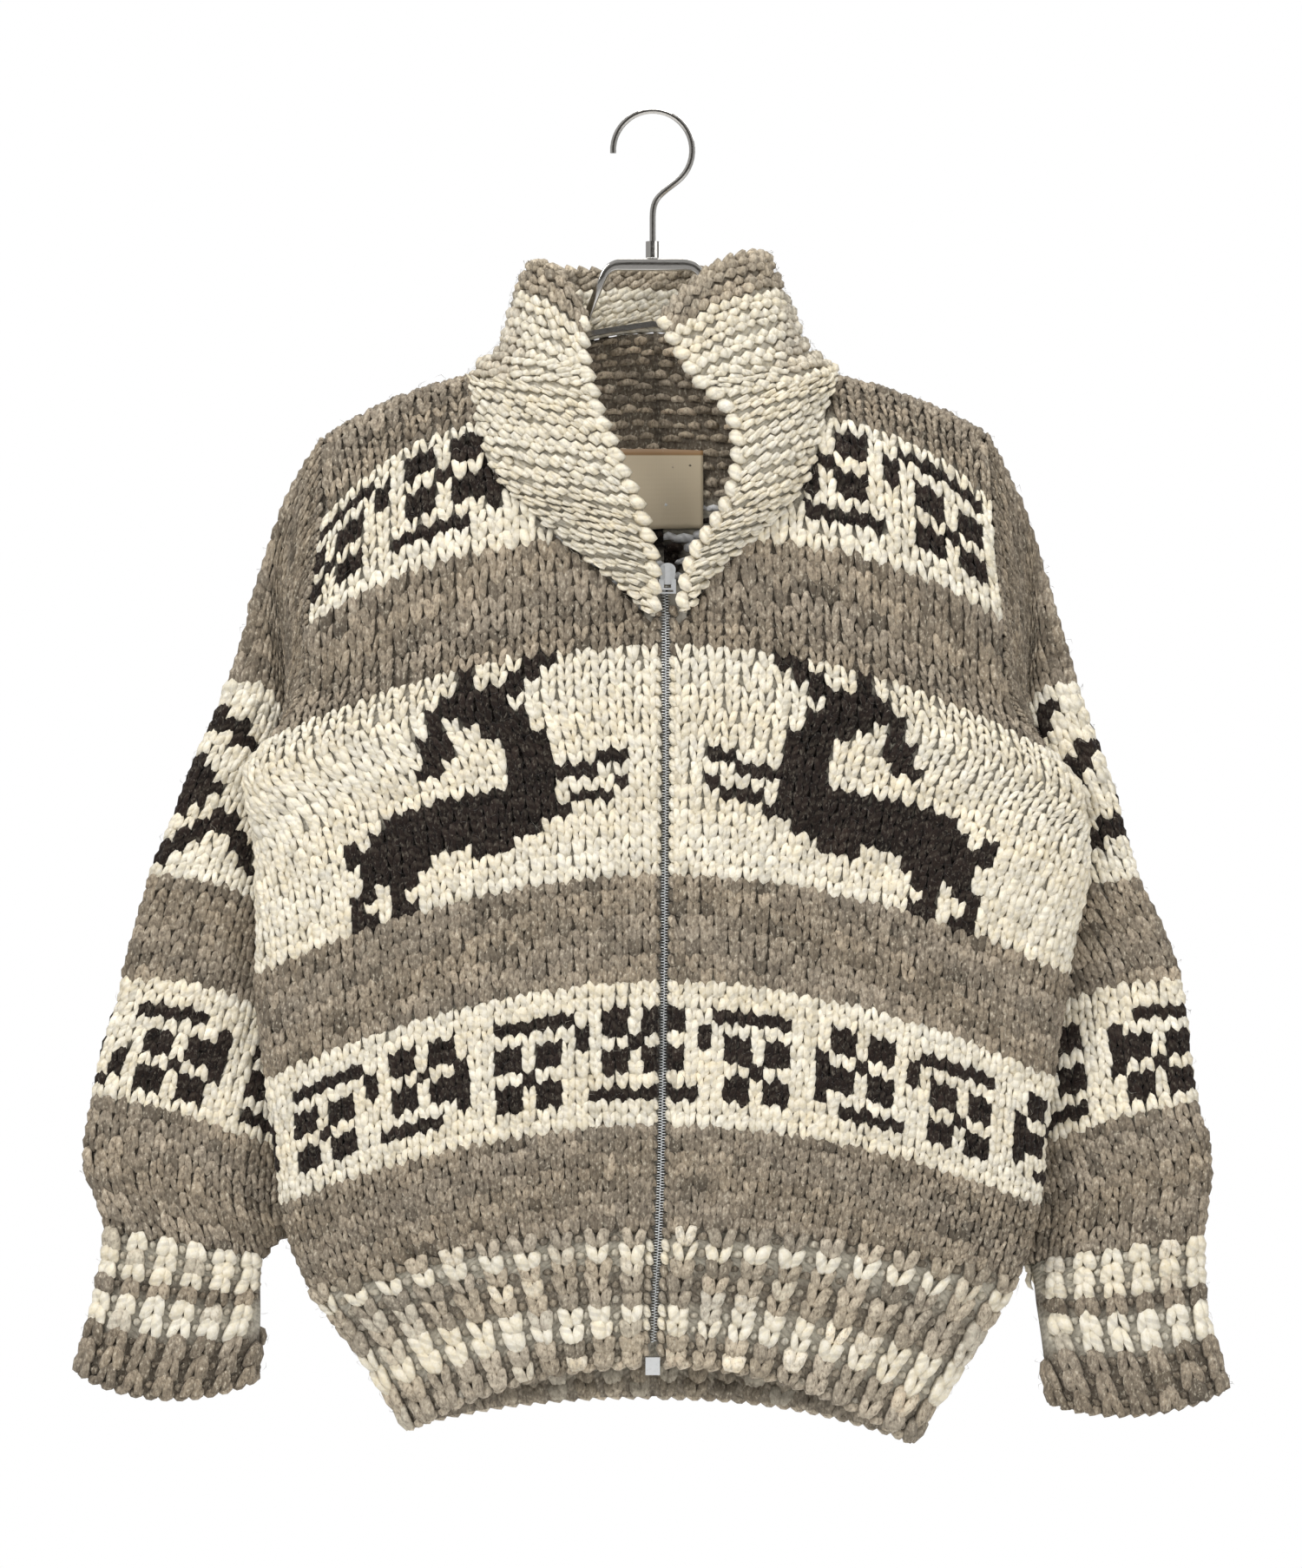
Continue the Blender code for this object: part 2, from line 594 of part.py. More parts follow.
def cloth_pieces():
    """The pieces of knitted cloth, each as its grids, whether they are rings, and where they face."""
    body_rows = BODY_ROWS + ARMHOLE_ROWS[1:]
    forward, rear = (0, -1, 0), (0, 1, 0)
    pieces = {
        "back": [(back_grid(body_rows), False, rear)],
        "hem_rib_back": [(back_grid(HEM_ROWS), False, rear)],
        "collar": [(collar_band(), False, rear)],
    }
    for hand, side, lapel, stand, sleeve in (
        ("left", LEFT_SIDE, LEFT_LAPEL, LEFT_STAND, LEFT_SLEEVE),
        ("right", RIGHT_SIDE, RIGHT_LAPEL, RIGHT_STAND, RIGHT_SLEEVE),
    ):
        pieces["front_" + hand] = [(front_grid(side, lapel, body_rows), False, forward)]
        pieces["hem_rib_" + hand] = [(front_grid(side, lapel, HEM_ROWS), False, forward)]
        pieces["sleeve_" + hand] = [(sleeve_grid(side, sleeve, SLEEVE_ROWS), True, None)]
        pieces["cuff_" + hand] = [(sleeve_grid(side, sleeve, CUFF_ROWS), True, None)]
        pieces["collar"].append((lapel_grid(side, lapel, stand), False, forward))
    return pieces


def make_cloth():
    """Makes every knitted piece."""
    for name, (points, faces) in cloth_solids(cloth_pieces()).items():
        creamy = name == "collar"
        add_object(name, mesh_of(name, points, faces), "cream_wool" if creamy else "grey_wool")


# ---------------------------------------------------------------- objects and finishes
def material(finish):
    """A Principled material for a finish, made once."""
    made = bpy.data.materials.get(finish)
    if made:
        return made
    colour, roughness, metallic = FINISHES[finish]
    made = bpy.data.materials.new(finish)
    made.use_nodes = True
    shader = made.node_tree.nodes["Principled BSDF"]
    shader.inputs["Base Color"].default_value = (*colour, 1.0)
    shader.inputs["Roughness"].default_value = roughness
    shader.inputs["Metallic"].default_value = metallic
    return made


def mesh_of(name, points, faces):
    """A smooth mesh from points in millimetres."""
    mesh = bpy.data.meshes.new(name)
    mesh.from_pydata([tuple(point * MM) for point in np.asarray(points, float)], [], faces)
    mesh.update()
    mesh.shade_smooth()
    mesh.set_sharp_from_angle(angle=math.radians(40))
    return mesh


def add_object(name, mesh, finish, location=(0, 0, 0)):
    """Puts a mesh or curve into the scene as a named object, with its finish."""
    made = bpy.data.objects.new(name, mesh)
    made.location = np.array(location, float) * MM
    mesh.materials.append(material(finish))
    bpy.context.scene.collection.objects.link(made)
    return made


def prism(name, outline, depth_axis, low, high):
    """A mesh from a flat outline, carried along one axis. The outline holds the other two in order."""
    others = [axis for axis in range(3) if axis != depth_axis]
    count = len(outline)
    points = np.zeros((2 * count, 3))
    for end, depth in enumerate((low, high)):
        points[end * count : (end + 1) * count, others] = outline
        points[end * count : (end + 1) * count, depth_axis] = depth
    shape = bmesh.new()
    corners = [shape.verts.new(point * MM) for point in points]
    shape.faces.new(corners[:count])
    shape.faces.new(corners[count:])
    for index in range(count):
        beside = (index + 1) % count
        shape.faces.new([corners[k] for k in (index, beside, beside + count, index + count)])
    bmesh.ops.recalc_face_normals(shape, faces=shape.faces)
    mesh = bpy.data.meshes.new(name)
    shape.to_mesh(mesh)
    shape.free()
    return mesh


def block(name, low, high):
    """A plain box between two corners."""
    outline = [(low[0], low[1]), (high[0], low[1]), (high[0], high[1]), (low[0], high[1])]
    return prism(name, outline, 2, low[2], high[2])


def combine(target, tool_mesh, operation):
    """Joins a mesh to an object, or cuts it away, with a Boolean."""
    tool = bpy.data.objects.new(f"{target.name}_{operation.lower()}", tool_mesh)
    tool.location = target.location
    tool.hide_render = True
    tool.display_type = "WIRE"
    bpy.context.scene.collection.objects.link(tool)
    modifier = target.modifiers.new(tool.name, "BOOLEAN")
    modifier.operation = operation
    modifier.object = tool


# ---------------------------------------------------------------- pieces that lie on the cloth
def surface_at(back, x, row):
    """Outer surface of the body at this X and row."""
    side = LEFT_SIDE if x < along(RINGS, "zip_x", row) else RIGHT_SIDE
    return body_point(side, back, angle_of_x(side, back, x, row), row)


def under_surface(back, x, row, depth):
    """The point at this X and row, as deep below the cloth's outer surface as asked."""
    nudge = 0.4
    here = surface_at(back, x, row)
    beside = surface_at(back, x + nudge, row) - here
    above = surface_at(back, x, row + nudge / 4) - here
    normal = np.cross(beside, above)
    normal /= np.linalg.norm(normal)
    normal *= np.sign(normal[1]) * (1 if back else -1)
    return here - normal * depth


def sewn_strip(name, finish, back, edges, rows, depth, thick):
    """A thin strip that follows the cloth from row to row, below its outer surface."""
    layers = [
        [[under_surface(back, x, row, deep) for x in edges(row)] for row in rows]
        for deep in (depth, depth + thick)
    ]
    wide = len(layers[0][0])
    points = np.array(layers).reshape(-1, 3)
    quads = quads_of(len(rows), wide, False)
    outer = turned_out(np.array(layers[0]), quads, (0, 1, 0) if back else (0, -1, 0))
    half = len(rows) * wide
    edges_used = {(int(a), int(b)) for quad in outer for a, b in zip(quad, np.roll(quad, -1))}
    faces = [tuple(quad) for quad in outer] + [tuple(quad[::-1] + half) for quad in outer]
    for a, b in sorted(edges_used):
        if (b, a) not in edges_used:
            faces.append((b, a, a + half, b + half))
    add_object(name, mesh_of(name, points, faces), finish)


def make_zip():
    """Two tapes behind the fronts, the two rows of teeth as bars, slider, pull and bottom box."""
    for hand, sign in (("left", -1), ("right", 1)):

        def edges(row, near, far, sign=sign):
            middle = along(RINGS, "zip_x", row)
            return middle + sign * near, middle + sign * far

        def tape(row, edges=edges):
            return edges(row, TAPE_EDGE, TAPE_EDGE + TAPE_WIDTH)

        def teeth(row, edges=edges):
            return edges(row, TEETH_EDGE, TEETH_EDGE + TEETH_WIDTH)

        sewn_strip(f"zip_tape_{hand}", "zip_tape", False, tape, TAPE_ROWS, TAPE_DEPTH, TAPE_THICK)
        sewn_strip(
            f"zip_teeth_{hand}", "zip_metal", False, teeth, TEETH_ROWS, TEETH_DEPTH, TEETH_THICK
        )
    make_slider()
    make_pull()
    make_zip_box()


def make_slider():
    """The slider's body with a round top, and the bail that stands in front of it."""
    half, foot = SLIDER_WIDTH / 2, SLIDER_TOP - SLIDER_HEIGHT
    arc = np.linspace(0, math.pi, 13)
    crown = SLIDER_TOP - half * 0.8
    outline = [(SLIDER_X + half * math.cos(t), crown + half * 0.8 * math.sin(t)) for t in arc]
    outline += [(SLIDER_X - half * 0.8, foot), (SLIDER_X + half * 0.8, foot)]
    mesh = prism("zip_slider", outline, 1, SLIDER_FRONT, SLIDER_FRONT + SLIDER_THICK)
    slider = add_object("zip_slider", mesh, "zip_metal")
    out, sunk = SLIDER_FRONT - BAIL_PROUD, SLIDER_FRONT + 0.4
    top, low = SLIDER_TOP - 1.2, foot + 0.5
    profile = [
        (sunk, top),
        (out, top),
        (out, low),
        (sunk, low),
        (sunk, low + BAIL_BAR),
        (out + BAIL_BAR, low + BAIL_BAR),
        (out + BAIL_BAR, top - 1.5),
        (sunk, top - 1.5),
    ]
    reach = BAIL_WIDTH / 2
    bail = prism("zip_bail", profile, 0, SLIDER_X - reach, SLIDER_X + reach)
    combine(slider, bail, "UNION")


def pull_axis():
    """The line that the pull turns on, along X: the middle of its bar inside the bail."""
    y = SLIDER_FRONT - PULL_PLAY - PULL_THICK / 2
    z = SLIDER_TOP - SLIDER_HEIGHT + 0.5 + BAIL_BAR + PULL_PLAY + PULL_THICK / 2
    return SLIDER_X, y, z


def make_pull():
    """The pull: a plate with a window round the bail and a slot near its foot, hanging down."""
    bar = PULL_THICK / 2
    half = PULL_WIDTH / 2
    mesh = block("zip_pull", (-half, -bar, -PULL_LENGTH + bar), (half, bar, bar))
    pull = add_object("zip_pull", mesh, "zip_metal", pull_axis())
    wide, tall = PULL_WINDOW
    window = block("pull_window", (-wide / 2, -2 * bar, -bar - tall), (wide / 2, 2 * bar, -bar))
    combine(pull, window, "DIFFERENCE")
    wide, tall = PULL_SLOT
    foot = -PULL_LENGTH + bar + 1.0
    slot = block("pull_slot", (-wide / 2, -2 * bar, foot), (wide / 2, 2 * bar, foot + tall))
    combine(pull, slot, "DIFFERENCE")


def make_zip_box():
    """The box at the foot of the zip, with the pin that runs up between the fronts."""
    x = float(along(RINGS, "zip_x", 0))
    front = -RINGS[0].front - 1.6
    half = BOX_WIDTH / 2
    low = (x - half, front, BOX_FOOT)
    high = (x + half, front + BOX_THICK, BOX_FOOT + BOX_HEIGHT)
    add_object("zip_box", block("zip_box", low, high), "zip_metal")


def make_label():
    """A bare woven label, sewn inside the back under the neck."""
    columns = np.linspace(-LABEL_HALF, LABEL_HALF, 5) + LABEL_X
    sewn_strip(
        "label", "satin", True, lambda _row: columns, LABEL_ROWS, LABEL_DEPTH, LABEL_THICK
    )


# ---------------------------------------------------------------- hanger
def swept(name, path, section, finish):
    """A bar along a path in the plane of the hanger. Its section gives, at each point of the path and
    in millimetres, pairs of how far up across the path and how far back each corner stands."""
    path, section = np.array(path, float), np.array(section, float)
    ahead = np.gradient(path, axis=0)
    ahead /= np.linalg.norm(ahead, axis=1, keepdims=True)
    up = np.stack([-ahead[:, 1], np.zeros(len(path)), ahead[:, 0]], axis=-1)
    middle = np.stack([path[:, 0], np.zeros(len(path)), path[:, 1]], axis=-1)
    back = np.array([0.0, 1.0, 0.0])
    grid = middle[:, None] + section[..., :1] * up[:, None] + section[..., 1:] * back
    corners = grid.shape[1]
    faces = [tuple(quad) for quad in turned_out(grid, quads_of(len(path), corners, True), None)]
    last = corners * (len(path) - 1)
    ends = [tuple(range(corners)), tuple(range(last, last + corners))]
    mesh = mesh_of(name, grid.reshape(-1, 3), faces + ends)
    shape = bmesh.new()
    shape.from_mesh(mesh)
    bmesh.ops.recalc_face_normals(shape, faces=shape.faces)
    shape.to_mesh(mesh)
    shape.free()
    return add_object(name, mesh, finish)


def round_section(radius, sides):
    """Corners of a round section."""
    turn = np.linspace(0, 2 * math.pi, sides, endpoint=False)
    return np.stack([radius * np.cos(turn), radius * np.sin(turn)], axis=-1)


def flat_section(heights, deep):
    """Corners of a flat bar's section, for each of its heights."""
    corners = np.array([(0.5, -0.5), (0.5, 0.5), (-0.5, 0.5), (-0.5, -0.5)])
    sizes = np.array([(height, deep) for height in heights])
    return corners[None] * sizes[:, None]


def hook_path():
    """The hook: most of a circle from its tip over the top, then a curve back to the stem."""
    middle = WIRE / 2 - HOOK_RADIUS
    turn = np.radians(np.linspace(184, -52, 30))
    circle = HOOK_RADIUS * np.stack([np.cos(turn), np.sin(turn)], axis=-1) + [0, middle]
    start, end = circle[-1], np.array([0.0, STEM_FOOT + 15])
    leaving = np.array([math.sin(turn[-1]), -math.cos(turn[-1])])
    reach = np.linalg.norm(end - start)
    near, far = start + leaving * reach * 0.55, end + np.array([0, reach * 0.45])
    t = np.linspace(0, 1, 12)[1:, None]
    s = 1 - t
    bend = s**3 * start + 3 * s * s * t * near + 3 * s * t * t * far + t**3 * end
    return np.concatenate((circle, bend, [(0, STEM_FOOT + 7), (0, STEM_FOOT)]))


def arch_z(x):
    """Height of the arch's middle line: a free curve at the neck, then along the shoulder seam."""
    if abs(x) <= NECK_X:
        return float(along(ARCH, "z", abs(x)))
    side = LEFT_SIDE if x < 0 else RIGHT_SIDE
    seam = body_point(side, True, angle_of_x(side, True, x, TOP_ROW), TOP_ROW)
    return float(seam[2]) - WALL - ARCH_THICK / 2 - ARCH_SUNK


def head_path():
    """The frame under the hook: a leg up from the arch, a round corner, the top bar and back down."""
    top = HEAD_TOP - HEAD_BAR / 2
    foot = arch_z(HEAD_FOOT) + ARCH_THICK / 2 + HEAD_LEG * 0.25 + 0.4
    corner = np.array([HEAD_SHOULDER + HEAD_CORNER * 0.35, top])
    leg = np.array([HEAD_FOOT, foot]) - corner
    leg /= np.linalg.norm(leg)
    start, end = corner - [HEAD_CORNER, 0], corner + leg * HEAD_CORNER
    bend = [
        (1 - t) ** 2 * start + 2 * t * (1 - t) * corner + t * t * end for t in np.linspace(0, 1, 7)
    ]
    half = [np.array([0.0, top])] + bend + [np.array([HEAD_FOOT, foot])]
    return [point * [-1, 1] for point in half[:0:-1]] + half


def make_hanger():
    """Hook, ferrule, frame and the arch that carries the shoulders."""
    hook = hook_path()
    swept("hanger_hook", hook, [round_section(WIRE / 2, 10)] * len(hook), "steel")
    ring = round_section(FERRULE_RADIUS, 20)
    add_object("hanger_ferrule", prism("hanger_ferrule", ring, 2, FERRULE_FOOT, FERRULE_TOP), "steel")
    frame = head_path()
    heights = [HEAD_BAR if abs(point[0]) < HEAD_SHOULDER else HEAD_LEG for point in frame]
    swept("hanger_head", frame, flat_section(heights, HEAD_DEEP), "steel")
    arch = [(x, arch_z(x)) for x in np.linspace(-ARCH_REACH, ARCH_REACH, 41)]
    swept("hanger_arch", arch, flat_section([ARCH_THICK] * len(arch), ARCH_DEEP), "steel")


def main():
    """Clears the scene and builds the whole piece."""
    for old in list(bpy.data.objects):
        bpy.data.objects.remove(old, do_unlink=True)
    make_hanger()
    make_cloth()
    make_zip()
    make_label()


main()
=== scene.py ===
"""Looks for a hand-knitted zip cardigan of thick wool on a metal hanger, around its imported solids.

Every stitch that shows is made of two strands of yarn, laid out over the same surfaces that the solids
follow: a surface is a function of a column of stitches and a row of knitting. Sizes are in millimetres
until a mesh is made. X runs to the right of the front, Y from the front to the back, and Z up.
"""

from __future__ import annotations

import logging
import math
from dataclasses import dataclass, field
from enum import Enum
from typing import Callable, Sequence

import bpy
import numpy as np
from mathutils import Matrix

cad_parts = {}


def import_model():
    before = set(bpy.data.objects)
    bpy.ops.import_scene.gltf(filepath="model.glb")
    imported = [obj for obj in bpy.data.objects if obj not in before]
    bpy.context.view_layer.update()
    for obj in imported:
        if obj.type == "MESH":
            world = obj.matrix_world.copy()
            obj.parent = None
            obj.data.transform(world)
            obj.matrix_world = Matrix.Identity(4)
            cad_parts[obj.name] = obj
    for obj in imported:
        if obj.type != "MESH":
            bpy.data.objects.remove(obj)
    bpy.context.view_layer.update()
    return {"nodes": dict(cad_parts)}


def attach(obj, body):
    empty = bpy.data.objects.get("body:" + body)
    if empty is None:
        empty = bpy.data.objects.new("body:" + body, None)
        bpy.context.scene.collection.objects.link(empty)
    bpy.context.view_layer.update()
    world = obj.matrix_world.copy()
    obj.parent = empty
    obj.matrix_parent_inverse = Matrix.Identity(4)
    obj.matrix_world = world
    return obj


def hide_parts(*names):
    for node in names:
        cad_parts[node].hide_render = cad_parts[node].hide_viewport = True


LOG = logging.getLogger("cardigan")
Array = np.ndarray
MM = 0.001
SEED = 7

WALL = 5.0
ROUNDNESS = 2.6
UNDERARM_ROW = 53.0
RIB_ROW = 11.0
CLOSING_ROW = 64.0
TOP_ROW = 80.0
ZIP_GAP = 5.0
NECK_X = 120.5
NECK_LIFT = 30.0
NECK_RISE = 21.0
NECK_FOOT_ROW = 58.0
CUFF_ROW = 64.0
CUFF_END = 75.0
ROW_MM = 8.5
SKIN = 2.0  # the strands lie on a shell this far below the cloth's outer surface
BODY_STITCHES = 31  # from the zip to the side
SLEEVE_STITCH = 9.2
YOKE_ROW = 64
BACK_YOKE_ROW = 57
CROWDED = 3.6  # rows closer together than this share one stitch between two
PACKED = 1.8  # and closer than this, between four
ZIP_TOP_ROW = 59.4  # of the fronts' edge stitches
CLOTH_FIBRES = 1150
RIB_FIBRES = 260
COLLAR_FIBRES = 800


# ------------------------------------------------------------------ tables
@dataclass(frozen=True)
class Table:
    """Rows of numbers under named columns, read between its rows by a smooth curve."""

    columns: str
    rows: tuple[tuple[float, ...], ...]

    def column(self, name: str) -> Array:
        """All the numbers of one column."""
        return np.array(self.rows, float)[:, self.columns.split().index(name)]

    def read(self, name: str, at: Array | float) -> Array:
        """One column at any places, by a cubic through the rows that never overshoots them.

        Args:
            name: The column wanted.
            at: Places along the table's first column.

        Returns:
            The column's values there.
        """
        return smooth_read(np.array(self.rows, float)[:, 0], self.column(name), at)


def smooth_read(xs: Array, ys: Array, at: Array | float) -> Array:
    """Cubic between knots whose slopes are harmonic means, so it never overshoots.

    Args:
        xs: Rising knots.
        ys: Values at the knots, one or more for each.
        at: Where the curve is read.

    Returns:
        The values there, with the shape of `at` before the shape of one value.
    """
    at = np.asarray(at, float)
    extra = (1,) * (ys.ndim - 1)
    step = np.diff(xs).reshape(-1, *extra)
    slope = np.diff(ys, axis=0) / step
    before, after = slope[:-1], slope[1:]
    same = before * after > 0
    inner = np.where(same, 2 * before * after / np.where(same, before + after, 1.0), 0.0)
    tangent = np.concatenate((slope[:1], inner, slope[-1:]))
    k = np.clip(np.searchsorted(xs, at, side="right") - 1, 0, len(xs) - 2)
    t = ((at - xs[k]) / np.diff(xs)[k]).reshape(*at.shape, *extra)
    near = ys[k] * (2 * t**3 - 3 * t**2 + 1) + step[k] * tangent[k] * (t**3 - 2 * t**2 + t)
    far = ys[k + 1] * (3 * t**2 - 2 * t**3) + step[k] * tangent[k + 1] * (t**3 - t**2)
    return near + far


RINGS = Table(
    "row zip_x z droop front back back_drop",
    (
        (0, 0.0, -818, 2.2, 30, 27, 27),
        (5, 1.5, -778, 2.2, 31, 28, 23),
        (11, 4.0, -728, 2.1, 34, 29, 18),
        (19, 6.0, -661, 2.0, 36, 30, 9),
        (30, 7.5, -567, 1.9, 37, 30, 0),
        (38, 8.0, -498, 1.9, 38, 30, 0),
        (47, 8.5, -424, 2.0, 39, 30, 0),
        (56, 8.5, -350, 2.0, 39, 30, 0),
        (60, 8.0, -319, 2.3, 38, 30, 0),
        (64, 7.0, -280, 2.8, 38, 30, 0),
        (69, 5.0, -236, 3.2, 38, 31, 0),
        (74, 3.0, -196, 3.6, 37, 32, 0),
        (80, 0.5, -162, 2.8, 36, 32, 0),
    ),
)
SIDE_FIELDS = "row x z wrap back_x back_wrap"
RIDGE_FIELDS = "row seam_x edge_x edge_y edge_z"
STAND_FIELDS = "share turn_x turn_z edge_x edge_y edge_z"
SLEEVE_FIELDS = "row out_x out_y out_z in_x in_y in_z droop front back sag"
NAPE_TOP_Z = -101.0
NAPE_TOP_Y = 34.0
LAPEL_PUFF = 4.0
NECK_CURVE = 0.7
ARMHOLE_FADE = 14.0
SLEEVE_ROUNDNESS = 2.2


class Hand(Enum):
    """The two sides of the garment, as seen from its front."""

    LEFT = -1
    RIGHT = 1


@dataclass(frozen=True)
class Cut:
    """The tables that shape one side of the garment."""

    hand: Hand
    side: Table
    lapel: Table
    stand: Table
    sleeve: Table


LEFT_CUT = Cut(
    Hand.LEFT,
    Table(
        SIDE_FIELDS,
        (
            (0, -160, -863, 90, -160, 90),
            (5, -192, -812, 90, -192, 90),
            (11, -224, -770, 90, -224, 90),
            (19, -244, -715, 90, -244, 90),
            (30, -253, -632, 90, -253, 90),
            (38, -259, -564, 92, -259, 88),
            (47, -260, -487, 108, -260, 72),
            (53, -267, -433, 125, -267, 55),
            (56, -250, -410, 90, -266, 54),
            (60, -230, -377, 80, -253, 61),
            (64, -235, -339, 75, -245, 65),
            (69, -235, -304, 68, -235, 68),
            (74, -231, -267, 66, -231, 66),
            (80, -238, -212, 62, -238, 62),
        ),
    ),
    Table(
        RIDGE_FIELDS,
        (
            (59, -6.8, 3.4, -41.0, -331.5),
            (61.5, -29.6, 3.4, -43.0, -308.5),
            (64, -61.0, 1.7, -45.0, -291.0),
            (66.5, -82.0, -2.3, -46.5, -273.5),
            (69, -102.0, -9.0, -47.0, -255.0),
            (71.5, -111.0, -17.0, -47.0, -238.0),
            (74, -116.0, -25.0, -46.0, -218.0),
            (77, -118.6, -31.5, -45.0, -203.5),
            (79, -120.0, -35.5, -44.0, -191.0),
            (80, -120.0, -37.6, -43.0, -183.0),
        ),
    ),
    Table(
        STAND_FIELDS,
        (
            (0.30, -99, -153, -41, -42, -171.5),
            (0.55, -93, -136, -43, -41, -162.0),
            (0.78, -87, -116, -44, -40, -149.0),
            (1.00, -80, -99, -43, -38, -138.0),
        ),
    ),
    Table(
        SLEEVE_FIELDS,
        (
            (0, -217, 2, -212, -232, 24, -425, 1.4, 16, 24, 0),
            (7, -243, 6, -262, -240, 33, -447, 2.0, 12, 25, 0),
            (14, -263, 10, -318, -234, 38, -462, 3.0, 10, 26, 0),
            (20, -279, 14, -372, -227, 37, -475, 4.0, 10, 26, 0),
            (28, -306, 12, -438, -230, 40, -512, 3.2, 12, 28, 0),
            (36, -331, 10, -501, -229, 40, -548, 2.5, 12, 30, 0),
            (44, -348, 10, -568, -229, 40, -605, 2.2, 13, 30, 0),
            (54, -368, 10, -646, -230, 38, -690, 1.5, 15, 30, 0),
            (59, -372, 10, -689, -231, 34, -724, 1.3, 17, 28, 0),
            (64, -360, 10, -733, -256, 26, -753, 1.2, 18, 22, 0),
            (69, -367, 10, -772, -258, 22, -784, 1.1, 18, 20, 3),
            (75, -380, 10, -826, -260, 20, -832, 1.0, 21, 23, 13),
        ),
    ),
)
RIGHT_CUT = Cut(
    Hand.RIGHT,
    Table(
        SIDE_FIELDS,
        (
            (0, 169, -872, 90, 169, 90),
            (5, 203, -821, 90, 203, 90),
            (11, 238, -763, 90, 238, 90),
            (19, 253, -715, 90, 253, 90),
            (30, 263, -632, 90, 263, 90),
            (38, 271, -564, 92, 271, 88),
            (47, 286, -487, 108, 286, 72),
            (53, 280, -443, 125, 280, 55),
            (56, 258, -417, 90, 275, 54),
            (60, 236, -382, 80, 260, 61),
            (64, 234, -333, 75, 244, 65),
            (69, 236, -294, 68, 236, 68),
            (74, 238, -256, 66, 238, 66),
            (80, 240, -210, 62, 240, 62),
        ),
    ),
    Table(
        RIDGE_FIELDS,
        (
            (59, 24.0, 17.3, -41.0, -329.0),
            (61.5, 40.0, 19.4, -43.0, -310.5),
            (64, 66.0, 25.7, -45.0, -290.0),
            (66.5, 89.0, 37.0, -46.5, -274.0),
            (69, 102.6, 46.7, -47.0, -257.5),
            (71.5, 109.0, 52.0, -47.0, -240.5),
            (74, 113.0, 53.6, -46.0, -224.0),
            (77, 117.0, 51.3, -45.0, -206.5),
            (79, 120.0, 45.6, -44.0, -195.0),
            (80, 121.0, 40.5, -43.0, -188.5),
        ),
    ),
    Table(
        STAND_FIELDS,
        (
            (0.30, 101, -153, 29, -42, -179.0),
            (0.55, 94, -137, 20, -41, -165.5),
            (0.78, 87, -122, 12, -40, -152.0),
            (1.00, 75, -92, 5, -38, -138.0),
        ),
    ),
    Table(
        SLEEVE_FIELDS,
        (
            (0, 218, 2, -210, 240, 24, -435, 1.4, 16, 24, 0),
            (7, 244, 6, -262, 246, 33, -457, 2.0, 12, 25, 0),
            (14, 264, 10, -320, 238, 38, -470, 3.0, 10, 26, 0),
            (20, 280, 14, -374, 228, 37, -480, 4.0, 10, 26, 0),
            (28, 303, 12, -447, 232, 40, -520, 3.2, 12, 28, 0),
            (36, 320, 10, -503, 233, 40, -553, 2.5, 12, 30, 0),
            (44, 348, 10, -569, 231, 40, -608, 2.2, 13, 30, 0),
            (54, 357, 10, -650, 233, 38, -690, 1.5, 15, 30, 0),
            (59, 366, 10, -692, 235, 34, -727, 1.3, 17, 28, 0),
            (64, 362, 10, -738, 249, 26, -756, 1.2, 18, 22, 0),
            (69, 365, 10, -780, 254, 22, -790, 1.1, 18, 20, 3),
            (75, 379, 10, -837, 262, 20, -849, 1.0, 21, 23, 10),
        ),
    ),
)


CUTS = {Hand.LEFT: LEFT_CUT, Hand.RIGHT: RIGHT_CUT}
HANDS = {Hand.LEFT: "left", Hand.RIGHT: "right"}


# ------------------------------------------------------------------ surfaces of the body
def across(degrees: Array) -> Array:
    """Share of a ring's half-width at an angle from its middle, on the superellipse."""
    return np.abs(np.sin(np.radians(degrees))) ** (2 / ROUNDNESS)


def outwards(degrees: Array) -> Array:
    """Share of a ring's depth at an angle from its middle, negative past the side."""
    cosine = np.cos(np.radians(degrees))
    return np.sign(cosine) * np.abs(cosine) ** (2 / ROUNDNESS)


def closing(row: Array) -> Array:
    """Depth that the body keeps at a row: all of it, then an ellipse up to the shoulder seam."""
    rise = np.clip((row - CLOSING_ROW) / (TOP_ROW - CLOSING_ROW), 0, 1)
    return np.sqrt(1 - rise**2)


def side_turn(side: Table, back: bool, row: Array) -> tuple[Array, Array]:
    """X at which the front's or the back's half of a ring turns, and the angle that it reaches.

    Args:
        side: The table of that side's outline.
        back: Whether the back's half is wanted.
        row: Rows.

    Returns:
        X in millimetres, and the angle.
    """
    turn, wrap = side.read("x", row), side.read("wrap", row)
    if back:
        sewn = np.asarray(row) <= UNDERARM_ROW
        turn = np.where(sewn, turn, side.read("back_x", row))
        wrap = np.where(sewn, 180 - wrap, side.read("back_wrap", row))
    return turn, wrap


